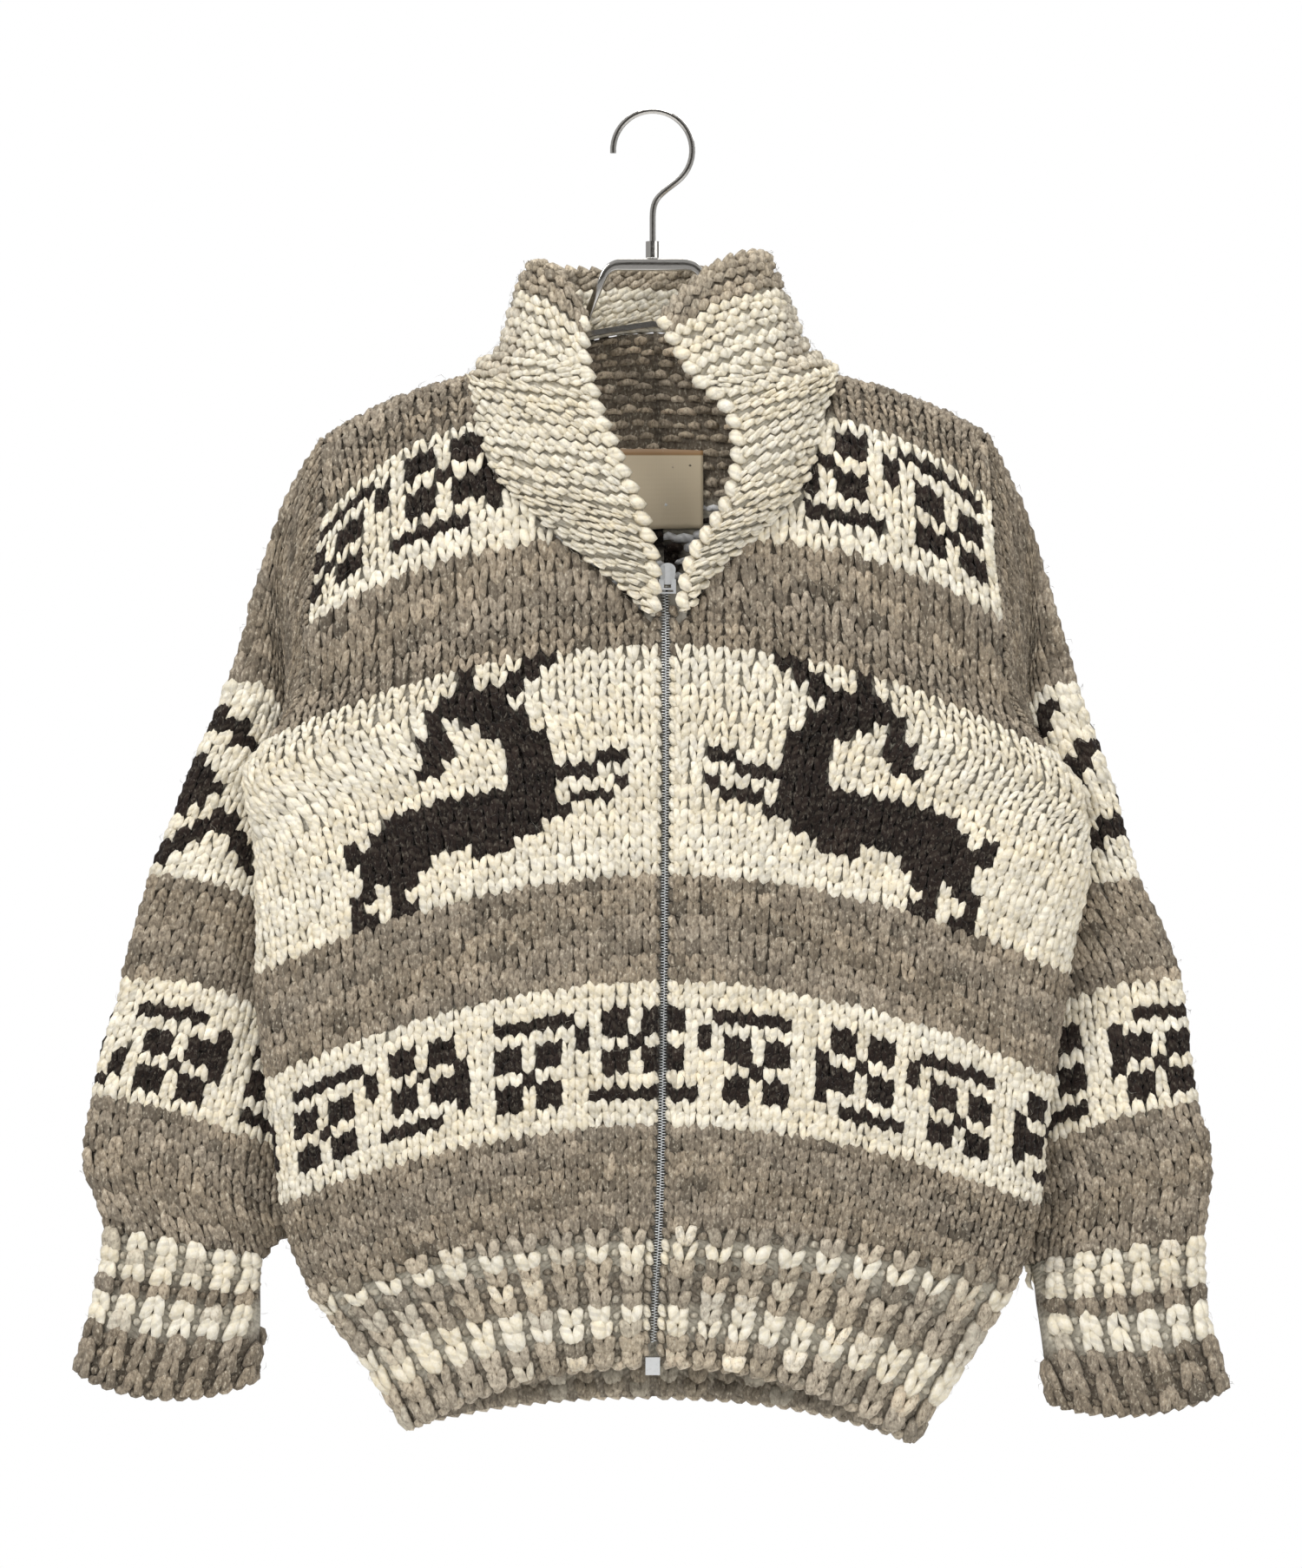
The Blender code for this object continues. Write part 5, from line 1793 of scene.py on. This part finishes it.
@dataclass
class Cloth(Maker):
    """Base shells and the strands over them. Under is painted shade: how much the shells are darkened where
    they show between their strands.
    """

    under: float = 0.62

    def shell(self, name: str, parts: Sequence[Part]) -> bpy.types.Object:
        """The wall of cloth under the strands, coloured by the same chart and darkened by painted shade.

        Args:
            name: The piece's name.
            parts: Panels with their first and last rows and their colours.

        Returns:
            The piece.
        """
        points, faces, tints, twists, count = [], [], [], [], 0
        for panel, low, high, wool in parts:
            rows = np.linspace(low, high, max(4, int((high - low) * 0.8) + 1))
            start, end = panel.span(rows)
            share = np.linspace(0, 1, 25)
            column = start[:, None] + (end - start)[:, None] * share
            row = np.broadcast_to(rows[:, None], column.shape)
            outer = panel.at(column, row, np.full(column.shape, -SKIN))
            inner = panel.at(column, row, np.full(column.shape, -WALL))
            made, quads = closed_shell(outer, inner)
            flat_c, flat_r = np.tile(column.ravel(), 2), np.tile(row.ravel(), 2)
            chart = wool(np.floor(flat_c).astype(int), np.minimum(np.floor(flat_r), high - 1).astype(int))
            tint = TONES[chart]
            # Painted shade: the shells are darkened by this share, so the gaps between stitches look
            # shadowed.
            tint[:, :3] *= self.under
            points.append(made)
            faces.append(quads + count)
            tints.append(tint)
            twists.append(np.stack([flat_r, flat_c], axis=-1))
            count += len(made)
        made = add_mesh(name, np.concatenate(points), np.concatenate(faces), WOOL)
        paint(made, np.concatenate(tints))
        unwrap(made, np.concatenate(twists))
        return made

    def cloth(self, node: str, parts: Sequence[Part], flat: Flat, on: list[bpy.types.Object]) -> None:
        """A base shell that stands for its CAD node.

        Args:
            node: The CAD node.
            parts: Panels with their first and last rows and their colours.
            flat: Its cut; not used.
            on: The pieces made of strands that lie on it; not used.
        """
        made = self.done(self.shell(f"{node}_cloth", parts), "knit_wool", BODY, node)

    def stitches(
        self, name: str, panel: Panel, low: float, high: float, wool: Tint, zipped: bool = False
    ) -> bpy.types.Object:
        """The strands of plain knitting over a panel, as one piece.

        Args:
            name: The piece's name.
            panel: The surface.
            low: First row.
            high: Row above the last.
            wool: Chart of the colours.
            zipped: Whether the first column runs beside the zip.

        Returns:
            The piece.
        """
        yarn = Yarn()
        column, row = stitch_places(panel, low, high)
        chart = wool(np.floor(column).astype(int), np.floor(row).astype(int))
        tint = spun(chart, column, row, self.rng)
        knit(yarn, panel, (column, row), tint, self.rng)
        self.trim(yarn, panel, high)
        if zipped:
            self.selvedge(yarn, panel, low, ZIP_TOP_ROW, wool)
        fuzz(yarn, panel, (low, high), CLOTH_FIBRES, wool, self.rng)
        return self.done(yarn.mesh(name, WOOL), "knit_wool", BODY)

    def selvedge(self, yarn: Yarn, panel: Panel, low: float, high: float, wool: Tint) -> None:
        """The chain of edge stitches that hides the zip's tape.

        Args:
            yarn: The piece that receives it.
            panel: The front.
            low: First row.
            high: Last row.
            wool: Chart of the colours.
        """
        rows = np.linspace(low, high, 240)
        laid, faces, twist = chained(panel, np.full(240, 0.04), rows, -1.5, 8.4, 2.35)
        row = np.linspace(low, high, len(laid))
        chart = wool(np.zeros(len(laid), int), np.floor(row).astype(int))
        yarn.put(laid, faces, twist, spun(chart, row * 0.3, row, self.rng))

    def trim(self, yarn: Yarn, panel: Panel, high: float) -> None:
        """The seam stitches that close the end of a piece, where it has one at the shoulder.

        Args:
            yarn: Takes the strands.
            panel: The surface.
            high: The row where it ends.
        """
        if high < TOP_ROW:
            return
        start, end = panel.span(np.array([TOP_ROW - 0.4]))
        column = np.linspace(start[0], end[0], 60)
        laid, faces, twist = chained(panel, column, np.full(60, TOP_ROW - 0.4), -0.6, 8.5, 2.1)
        yarn.put(laid, faces, twist, tone(GREY, len(laid), self.rng))

    def rib(
        self, name: str, panels: Sequence[tuple[Panel, Tint]], rib: Rib
    ) -> bpy.types.Object:
        """Columns of large V stitches with purl bumps between, and a braid at the end.

        Args:
            name: The piece's name.
            panels: Surfaces and their colours.
            rib: Its measures.

        Returns:
            The piece.
        """
        yarn = Yarn()
        for panel, wool in panels:
            for purl in (False, True):
                column, row = rib.places(panel, purl)
                chart = wool(np.floor(column).astype(int), np.floor(row + 0.3).astype(int))
                tint = spun(blended(chart, self.rng), column, row, self.rng)
                if purl:
                    lie = Lie.even(column, row + 0.4, 1.0, -2.6)
                    lie.wide = lie.wide * rib.wide * rib.PURL_SPREAD
                    # Painted shade: the recessed purl bumps are darkened.
                    tint[:, :3] *= rib.PURL_PAINTED_SHADE
                    yarn.add(BUMP, panel, lie.loosen(self.rng, 0.7), tint)
                    continue
                for flip in (-1.0, 1.0):
                    lie = Lie.even(column, row, flip, 0.0)
                    lie.wide = lie.wide * rib.wide * rib.PLAIN_SPREAD
                    lie.stretch = lie.stretch * rib.tall
                    yarn.add(RIB_LEG, panel, lie.loosen(self.rng), tint)
                    if rib.both_faces:
                        back = Lie.even(column, row, flip, -0.8).inside()
                        back.wide = back.wide * rib.wide * rib.PLAIN_SPREAD
                        back.stretch = back.stretch * rib.tall
                        # Painted shade: the legs on the inner face are darkened as if in shadow.
                        yarn.add(RIB_LEG, panel, back.loosen(self.rng), tint * rib.INSIDE_PAINTED_SHADE)
            self.braid(yarn, panel, rib)
            if rib is HEM:
                self.selvedge(yarn, panel, 0.6, rib.high, wool)
            fuzz(yarn, panel, (rib.low, rib.high), RIB_FIBRES, wool, self.rng)
        return self.done(yarn.mesh(name, WOOL), "knit_wool", BODY)

    def braid(self, yarn: Yarn, panel: Panel, rib: Rib) -> None:
        """The cast-off braid at the free end of a rib.

        Args:
            yarn: Takes the strands.
            panel: The surface.
            rib: The rib that it ends.
        """
        start, end = (float(edge[0]) for edge in panel.span(np.array([rib.end_row])))
        column = np.linspace(start + 0.1, end - 0.1, 90)
        laid, faces, twist = chained(panel, column, np.full(90, rib.end_row), -2.2, 9.5, 2.9)
        yarn.put(laid, faces, twist, tone(rib.end_wool, len(laid), self.rng))

    def garter(self, yarn: Yarn, panel: Panel, wool: Tint, inside: bool) -> None:
        """Ridges of purl bumps: arches over the top of each ridge, and cups under it.

        Args:
            yarn: The piece that receives them.
            panel: The surface.
            wool: Colours by bump and ridge.
            inside: Whether the inner face is worked too.
        """
        rows = np.arange(0.35, panel.rows[-1] - 0.05, 1.0)
        for shift, lean, move in ((0.0, 1.0, 0.16), (0.5, -1.0, -0.15)):
            places = np.arange(panel.columns[-1]) + 0.5 + shift
            column, row = (grid.ravel() for grid in np.meshgrid(places, rows))
            start, end = panel.span(row)
            keep = (column > start + 0.30) & (column < end - 0.55)
            column, row = column[keep], row[keep]
            chart = wool(np.floor(column).astype(int), np.floor(row).astype(int))
            tint = spun(chart, column, row, self.rng)
            for face in (False, True) if inside else (False,):
                lie = Lie.even(column, row + move, 1.0, 0.0)
                lie.stretch = lie.stretch * lean
                if face:
                    lie.row = lie.row + 0.5
                    lie = lie.inside()
                yarn.add(GARTER, panel, lie.loosen(self.rng), tint)


@dataclass(frozen=True)
class Rib:
    """Measures of a rib: its rows, the size of a stitch in columns and rows, and its free end."""

    low: float
    high: float
    wide: float
    tall: float
    end_row: float
    end_wool: int
    both_faces: bool = False

    PLAIN_SPREAD = 0.83
    PURL_SPREAD = 0.30
    # Painted shade: purl bumps are darkened in the troughs between the ribs.
    PURL_PAINTED_SHADE = 0.70
    # Painted shade for the rib's inner face.
    INSIDE_PAINTED_SHADE = (0.7, 0.7, 0.7, 1.0)

    def places(self, panel: Panel, purl: bool) -> tuple[Array, Array]:
        """Columns and rows of its plain stitches, or of the purl bumps between them.

        Args:
            panel: The surface.
            purl: Whether the bumps are wanted.

        Returns:
            Column and row of each, clear of the panel's edges.
        """
        rows = np.arange(self.low + 0.1, self.high - 0.5, self.tall)
        first = math.ceil(panel.columns[0] / self.wide)
        ribs = (np.arange(first, panel.columns[-1] / self.wide) + (0.0 if purl else 0.5)) * self.wide
        column, row = (grid.ravel() for grid in np.meshgrid(ribs, rows))
        start, end = panel.span(row)
        edge = 0.1 if purl else 0.35 * self.wide
        keep = (column > start + edge) & (column < end - edge)
        return column[keep], row[keep]


@dataclass(frozen=True)
class Flat:
    """A piece's size before it hung: width, length and area, in metres."""

    width: float
    length: float
    area: float


FLATS = {
    "front": Flat(0.340, 0.620, 0.1325),
    "back": Flat(0.566, 0.605, 0.2890),
    "sleeve": Flat(0.290, 0.560, 0.1310),
    "hem_rib": Flat(0.243, 0.102, 0.0212),
    "hem_rib_back": Flat(0.481, 0.105, 0.0434),
    "cuff": Flat(0.280, 0.100, 0.0256),
    "collar": Flat(0.820, 0.106, 0.0424),
}

BODY_CREASES = (
    Crease(-232, -425, -120, -505, 17, -3.6),
    Crease(-246, -455, -150, -570, 15, 3.0),
    Crease(240, -430, 125, -515, 17, -3.6),
    Crease(255, -465, 160, -575, 15, 3.0),
    Crease(-205, -250, -130, -345, 16, -2.6),
    Crease(205, -245, 135, -340, 16, -2.6),
    Crease(-150, -640, -120, -790, 20, 3.0),
    Crease(-70, -650, -62, -800, 16, -2.4),
    Crease(90, -650, 84, -800, 16, -2.6),
    Crease(170, -640, 142, -800, 20, 3.0),
)
BACK_CREASES = (
    Crease(-228, -430, -110, -500, 18, -3.4),
    Crease(232, -440, 105, -520, 18, -3.4),
    Crease(-95, -230, 5, -262, 20, -2.6),
    Crease(105, -235, 20, -270, 20, 2.4),
    Crease(-120, -620, -95, -800, 19, 2.8),
    Crease(10, -610, 16, -810, 20, -2.6),
    Crease(130, -630, 118, -800, 18, 2.6),
)
SLEEVE_CREASES = (
    Crease(-228, -470, -300, -440, 13, -3.4),
    Crease(-230, -535, -325, -500, 13, 3.2),
    Crease(-232, -585, -335, -560, 12, -2.8),
    Crease(-240, -700, -360, -680, 12, 3.0),
    Crease(230, -478, 300, -446, 13, -3.4),
    Crease(232, -540, 322, -508, 13, 3.2),
    Crease(234, -595, 335, -565, 12, -2.8),
    Crease(242, -705, 358, -688, 12, 3.0),
)


@dataclass
class Body(Cloth):
    """Back, fronts and their hem ribs."""

    def build(self) -> None:
        """Makes every piece of the body."""
        backs = {hand: body_panel(cut, True) for hand, cut in CUTS.items()}
        rear, strands = {}, []
        for hand, cut in CUTS.items():
            name = HANDS[hand]
            backs[hand].bend(BACK_CREASES)
            panel = body_panel(cut, False)
            panel.bend(BODY_CREASES)
            phase = 1 if hand is Hand.LEFT else 4
            wool, rear[hand] = self.chart(phase), self.chart(phase, BACK_YOKE_ROW)
            laid = self.stitches(f"front_{name}_stitches", panel, RIB_ROW, TOP_ROW, wool, True)
            self.cloth(f"front_{name}", [(panel, RIB_ROW, TOP_ROW, wool)], FLATS["front"], [laid])
            laid = self.rib(f"hem_rib_{name}_stitches", [(panel, wool)], HEM)
            self.cloth(f"hem_rib_{name}", [(panel, 0.0, RIB_ROW, wool)], FLATS["hem_rib"], [laid])
            back = f"back_stitches_{name}"
            strands.append(self.stitches(back, backs[hand], RIB_ROW, TOP_ROW, rear[hand]))
            strands.append(self.lining(f"nape_purls_{name}", backs[hand], rear[hand]))
        both = [(panel, rear[hand]) for hand, panel in backs.items()]
        self.cloth("back", [(p, RIB_ROW, TOP_ROW, w) for p, w in both], FLATS["back"], strands)
        laid = self.rib("hem_rib_back_stitches", both, HEM_BACK)
        parts = [(p, 0.0, RIB_ROW, w) for p, w in both]
        self.cloth("hem_rib_back", parts, FLATS["hem_rib_back"], [laid])
        self.label(backs)

    def label(self, backs: dict[Hand, Panel]) -> None:
        """The bare label, sewn flat on the purl bumps inside the back.

        Args:
            backs: The two halves of the back.
        """
        x, rows = np.meshgrid(np.linspace(-24, 28, 27), np.linspace(64.9, 70.6, 17))
        middle = RINGS.read("zip_x", rows)
        halves = []
        for deep in (WALL + 3.4, WALL + 4.2):
            sides = [
                panel.at(np.abs(x - middle) / 8.9, rows, np.full(x.shape, -deep))
                for panel in backs.values()
            ]
            halves.append(np.where((x < middle)[..., None], sides[0], sides[1]))
        points, faces = closed_shell(halves[0], halves[1])
        self.done(add_mesh("label_cloth", points, faces, SATIN), "label_satin", BODY, "label")

    @staticmethod
    def chart(phase: int, yoke: int = YOKE_ROW) -> Tint:
        """The colours of the body with its windows moved sideways."""
        return lambda column, row: body_wool(column, row, phase, yoke)

    def lining(self, name: str, panel: Panel, wool: Tint) -> bpy.types.Object:
        """Purl bumps on the inside of the back, where the open neck shows them.

        Args:
            name: The piece's name.
            panel: Half of the back.
            wool: Its colours.

        Returns:
            The piece.
        """
        yarn = Yarn()
        column, row = stitch_places(panel, 58.0, TOP_ROW)
        keep = column < 14
        column, row = column[keep], row[keep]
        chart = wool(np.floor(column).astype(int), np.floor(row).astype(int))
        tint = spun(chart, column, row, self.rng)
        # Painted light: the inner purls are brightened 1.8 times, as if lit through the open neck.
        tint[:, :3] = np.minimum(tint[:, :3] * 1.8, 0.9)
        lie = Lie.even(column + 0.25 + 0.5 * (row % 2), row + 0.5, 1.0, -0.2).inside()
        yarn.add(BUMP, panel, lie.loosen(self.rng, 1.5), tint)
        return self.done(yarn.mesh(name, WOOL), "knit_wool", BODY)


HEM = Rib(0.0, RIB_ROW, 3.1, 11 / 9, 0.15, GREIGE)
HEM_BACK = Rib(0.0, RIB_ROW, 3.1, 11 / 9, 0.15, GREIGE, both_faces=True)
CUFF = Rib(CUFF_ROW, CUFF_END, 2.07, 11 / 9, CUFF_END - 0.15, GREY)


@dataclass
class Sleeves(Cloth):
    """Sleeves and cuffs."""

    def build(self) -> None:
        """Makes both sleeves."""
        for hand, cut in CUTS.items():
            name = HANDS[hand]
            panel = sleeve_panel(cut)
            panel.bend(SLEEVE_CREASES)
            phase = 8 if hand is Hand.LEFT else 5

            wool = self.chart(phase)
            laid = self.stitches(f"sleeve_{name}_stitches", panel, 0.0, CUFF_ROW, wool)
            parts = [(panel, 0.0, CUFF_ROW, wool)]
            self.cloth(f"sleeve_{name}", parts, FLATS["sleeve"], [laid])
            laid = self.rib(f"cuff_{name}_stitches", [(panel, wool)], CUFF)
            parts = [(panel, CUFF_ROW, CUFF_END, wool)]
            self.cloth(f"cuff_{name}", parts, FLATS["cuff"], [laid])

    @staticmethod
    def chart(phase: int) -> Tint:
        """The colours of a sleeve with its motifs moved sideways."""
        return lambda column, row: sleeve_wool(column, row, phase)


@dataclass
class Collar(Cloth):
    """The shawl collar in garter ridges, with its rolled edges."""

    def build(self) -> None:
        """Makes the collar's shell and its ridges."""
        lapels = {hand: lapel_panel(cut) for hand, cut in CUTS.items()}
        band = band_panel()
        panels = [*lapels.values(), band]
        parts = [(panel, 0.0, float(panel.rows[-1]), self.wool_of(panel)) for panel in panels]
        made = self.done(self.shell("collar_cloth", parts), "collar_wool", BODY, "collar")
        flat, ridges = FLATS["collar"], []
        for name, panel in zip(("left", "right", "nape"), panels):
            yarn = Yarn()
            self.garter(yarn, panel, self.wool_of(panel), True)
            self.edges(yarn, panel, name == "nape")
            span = (0.0, float(panel.rows[-1]))
            fuzz(yarn, panel, span, COLLAR_FIBRES, self.wool_of(panel), self.rng)
            ridges.append(
                self.done(yarn.mesh(f"collar_ridges_{name}", WOOL), "collar_wool", BODY)
            )

    @staticmethod
    def wool_of(panel: Panel) -> Tint:
        """Cream below the last two ridges, which are grey-beige, with a few mixed ones between."""
        last = math.floor(panel.rows[-1]) - 1
        return lambda column, row: np.select(
            [row >= last, (row >= last - 5) & (column + row < last + 1)], [GREIGE, MARL], CREAM
        )

    def edges(self, yarn: Yarn, panel: Panel, nape: bool) -> None:
        """The rolled braid along the free front edge and along the top edge.

        Args:
            yarn: Takes the strands.
            panel: The surface.
            nape: Whether it is the band behind the neck.
        """
        rows = np.linspace(0.1, panel.rows[-1] - 0.1, 80)
        _, end = panel.span(rows)
        if not nape:
            laid, faces, twist = chained(panel, end - 0.28, rows, 0.1, 10.8, 4.1)
            yarn.put(laid, faces, twist, tone(CREAM, len(laid), self.rng))
        top = float(panel.span(panel.rows[-1:])[1][0])
        column = np.linspace(0.05, top - 0.1, 80)
        laid, faces, twist = chained(
            panel, column, np.full(80, panel.rows[-1] - 0.1), -2.0, 8.8, 3.2
        )
        yarn.put(laid, faces, twist, tone(GREIGE, len(laid), self.rng))


TOOTH = Strand(
    across=(-0.62, -0.50, 0.5, 2.9, 3.2),
    along=(0.0, 0.0, 0.0, 0.0, 0.0),
    rise=(0.0, 0.0, 0.1, 0.0, 0.0),
    wide=(0.0, 0.40, 0.42, 0.56, 0.0),
    tall=(0.0, 1.10, 1.25, 1.20, 0.0),
)


@dataclass
class Zip(Maker):
    """The zip's teeth."""

    pitch: float = 1.85
    depth: float = 3.4
    top_row: float = 60.86

    def build(self) -> None:
        """Makes the two rows of teeth."""
        for hand, cut in CUTS.items():
            name = HANDS[hand]
            panel = self.panel(cut)
            rows = np.linspace(1.9, self.top_row, 400)
            path = panel.at(np.zeros(400), rows, 0.0)
            steps = np.linalg.norm(np.diff(path, axis=0), axis=1)
            run = np.concatenate(([0], np.cumsum(steps)))
            shift = 0.0 if hand is Hand.LEFT else self.pitch / 2
            row = np.interp(np.arange(shift, run[-1] - 0.6, self.pitch), run, rows)
            yarn = Yarn()
            lie = Lie.even(np.zeros(len(row)), row, 1.0, -self.depth)
            yarn.add(TOOTH, panel, lie, np.ones((len(row), 4)))
            self.done(
                yarn.mesh(f"zip_teeth_{name}_row", ZIP_METAL), "zip_metal", BODY, f"zip_teeth_{name}"
            )

    @staticmethod
    def panel(cut: Cut) -> Panel:
        """The front's surface beside the zip, over millimetres from the zip's middle.

        Args:
            cut: The side's cut.

        Returns:
            The panel.
        """
        columns, rows = np.linspace(-2, 14, 33), np.arange(0, 61.26, 0.25)
        middle = RINGS.read("zip_x", rows)[:, None]
        x = middle + cut.hand.value * np.abs(columns)[None]
        points = body_point(cut.side, False, angle_of_x(cut.side, False, x, rows[:, None]), rows[:, None])
        points[..., 0] = middle + cut.hand.value * columns[None]
        ends = np.full(len(rows), 14.0)
        panel = Panel(columns, rows, points, np.zeros(len(rows)), ends, np.array([0.0, -1.0, 0.0]))
        panel.pitch = 1.0
        return panel


@dataclass
class HangerFrame(Maker):
    """The flat bar bent into a frame under the hook, with rounded edges."""

    top: float = -99.1
    corner_x: float = 29.15
    foot: tuple[float, float] = (47.0, -142.6)
    bend: float = 9.0
    bar: float = 8.2
    leg: float = 5.0
    deep: float = 6.0
    edge: float = 1.1

    def build(self) -> None:
        """Sweeps a rounded section along the frame, and closes its ends."""
        path, high = self.path()
        ahead = np.gradient(path, axis=0)
        ahead = ahead / np.linalg.norm(ahead, axis=1, keepdims=True)
        up = np.stack([-ahead[:, 1], np.zeros(len(path)), ahead[:, 0]], axis=-1)
        middle = np.stack([path[:, 0], np.zeros(len(path)), path[:, 1]], axis=-1)
        turn = np.radians(np.arange(0, 360, 22.5) + 11.25)
        tall = np.cos(turn) * self.edge + np.sign(np.cos(turn)) * (high[:, None] / 2 - self.edge)
        back = np.sin(turn) * self.edge + np.sign(np.sin(turn)) * (self.deep / 2 - self.edge)
        grid = middle[:, None] + tall[..., None] * up[:, None]
        grid[..., 1] += back
        sides = len(turn)
        points = np.concatenate((grid.reshape(-1, 3), middle[:1], middle[-1:]))
        k = np.arange(sides)
        j, last, tips = (k + 1) % sides, sides * (len(path) - 1), sides * len(path)
        quads = grid_faces(len(path), sides, ring=True)
        faces = [quads[:, (0, 1, 2)], quads[:, (0, 2, 3)]]
        faces += [np.stack([np.full(sides, tips), j, k], -1)]
        faces += [np.stack([np.full(sides, tips + 1), last + k, last + j], -1)]
        faces = np.concatenate(faces)
        a, b, c = (points[faces[:, k]] for k in range(3))
        if (a * np.cross(b, c)).sum() < 0:
            faces = faces[:, ::-1]
        made = add_mesh("hanger_frame", points, faces, STEEL)
        self.done(made, "steel", BODY, "hanger_head")

    def path(self) -> tuple[Array, Array]:
        """Points of the frame's middle line in X and Z, and its height at each.

        Returns:
            Points, and heights in millimetres.
        """
        corner, foot = np.array([self.corner_x, self.top]), np.array(self.foot)
        leg = (foot - corner) / np.linalg.norm(foot - corner)
        start, end = corner - (self.bend, 0), corner + leg * self.bend
        t = np.linspace(0, 1, 13)[:, None]
        bend = (1 - t) ** 2 * start + 2 * t * (1 - t) * corner + t * t * end
        half = np.concatenate(([[0.0, self.top]], bend, [foot]))
        whole = np.concatenate((half[:0:-1] * (-1, 1), half))
        away = np.abs(whole[:, 0])
        share = np.clip((away - start[0]) / (end[0] - start[0]), 0, 1)
        return whole, self.bar + (self.leg - self.bar) * share


def dress_nodes(nodes: dict[str, bpy.types.Object]) -> None:
    """Gives the CAD pieces that stay their finishes.

    Args:
        nodes: The frame's nodes by name.
    """
    finishes: dict[str, Finish] = {"hanger": STEEL, "label": SATIN, "zip_tape": TAPE_PAINTED_SHADE, "zip": ZIP_METAL}
    for name, node in nodes.items():
        for start, finish in finishes.items():
            if name.startswith(start):
                node.data.materials.clear()
                node.data.materials.append(finish.material())
                LOG.info("%s: %s", name, finish.name)
                break


# ------------------------------------------------------------------ studio
@dataclass(frozen=True)
class Lamp:
    """A soft square lamp: its place, its width in metres, its power in watts, and if metal shows it."""

    place: tuple[float, float, float]
    size: float
    power: float
    mirrored: bool = True


@dataclass(frozen=True)
class Studio:
    """A white room: an even world, a pale floor, soft lamps and the camera."""

    aim: tuple[float, float, float] = (-0.0011, 0.0, -0.440)
    distance: float = 3.0
    tall: float = 1.0294
    world: float = 0.47
    floor_z: float = -1.30
    lamps: tuple[Lamp, ...] = (
        Lamp((-1.9, -2.0, 1.6), 1.1, 66.0),
        Lamp((2.0, -2.4, 0.3), 1.8, 27.0),
        Lamp((0.2, -0.5, 2.0), 1.2, 26.0),
        Lamp((0.4, 2.6, 0.9), 2.2, 52.0),
        Lamp((0.1, -2.9, 0.35), 0.7, 9.0, False),
    )

    def build(self) -> None:
        """Sets the world, the floor, the lamps and the camera."""
        scene = bpy.context.scene
        scene.view_settings.view_transform = "Standard"
        world = bpy.data.worlds.new("white_room")
        world.use_nodes = True
        sky = world.node_tree.nodes["Background"]
        sky.inputs["Color"].default_value = (1.0, 1.0, 1.0, 1.0)
        path = world.node_tree.nodes.new("ShaderNodeLightPath")
        power = world.node_tree.nodes.new("ShaderNodeMapRange")
        power.inputs["To Min"].default_value = self.world
        world.node_tree.links.new(path.outputs["Is Camera Ray"], power.inputs["Value"])
        world.node_tree.links.new(power.outputs[0], sky.inputs["Strength"])
        scene.world = world
        for index, lamp in enumerate(self.lamps):
            self.light(f"lamp_{index}", lamp)
        self.floor()
        data = bpy.data.cameras.new("camera")
        data.sensor_fit, data.sensor_height = "VERTICAL", 24.0
        data.lens = 24.0 * self.distance / self.tall
        camera = bpy.data.objects.new("camera", data)
        camera.location = (self.aim[0], -self.distance, self.aim[2])
        camera.rotation_euler = (math.pi / 2, 0.0, 0.0)
        scene.collection.objects.link(camera)
        scene.camera = camera

    def light(self, name: str, lamp: Lamp) -> None:
        """Adds one lamp turned towards the middle of the cardigan.

        Args:
            name: Name of the lamp.
            lamp: Its size, place and strength.
        """
        data = bpy.data.lights.new(name, "AREA")
        data.size, data.energy = lamp.size, lamp.power
        made = bpy.data.objects.new(name, data)
        made.location, made.visible_glossy = lamp.place, lamp.mirrored
        away = np.array(lamp.place) - np.array(self.aim)
        flat = math.hypot(away[0], away[1])
        made.rotation_euler = (math.atan2(flat, away[2]), 0.0, math.atan2(away[0], -away[1]))
        bpy.context.scene.collection.objects.link(made)

    def floor(self) -> None:
        """Adds the pale floor, and a dark card that only the polished metal reflects."""
        corners = np.array([(-4.0, -5.0), (4.0, -5.0), (4.0, 1.8), (-4.0, 1.8)]) / MM
        points = np.column_stack([corners, np.full(4, self.floor_z / MM)])
        made = add_mesh("floor", points, np.array([[0, 1, 2, 3]]), TapeFinish("pale_floor", (0.9, 0.9, 0.9)))
        card = np.array([(-3.5, 0.28), (3.5, 0.28), (3.5, 1.9), (-3.5, 1.9)]) / MM
        points = np.column_stack([card[:, 0], np.full(4, -7000.0), card[:, 1]])
        dark = TapeFinish("dark_card", (0.05, 0.045, 0.04))
        made = add_mesh("dark_card", points, np.array([[0, 1, 2, 3]]), dark)
        made.visible_camera = made.visible_diffuse = made.visible_shadow = False


def main() -> None:
    """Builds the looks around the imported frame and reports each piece."""
    logging.basicConfig(level=logging.INFO, format="%(message)s")
    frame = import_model()
    rng = np.random.default_rng(SEED)
    dress_nodes(frame["nodes"])
    # The collar's shells take weaker painted shade (0.85) than the rest.
    for part in (Body(rng), Sleeves(rng), Collar(rng, under=0.85), Zip(rng), HangerFrame(rng)):
        part.build()
        LOG.info("%s: %d faces in all", type(part).__name__, sum(n for _, n in part.made))
    Studio().build()


if __name__ == "__main__":
    main()
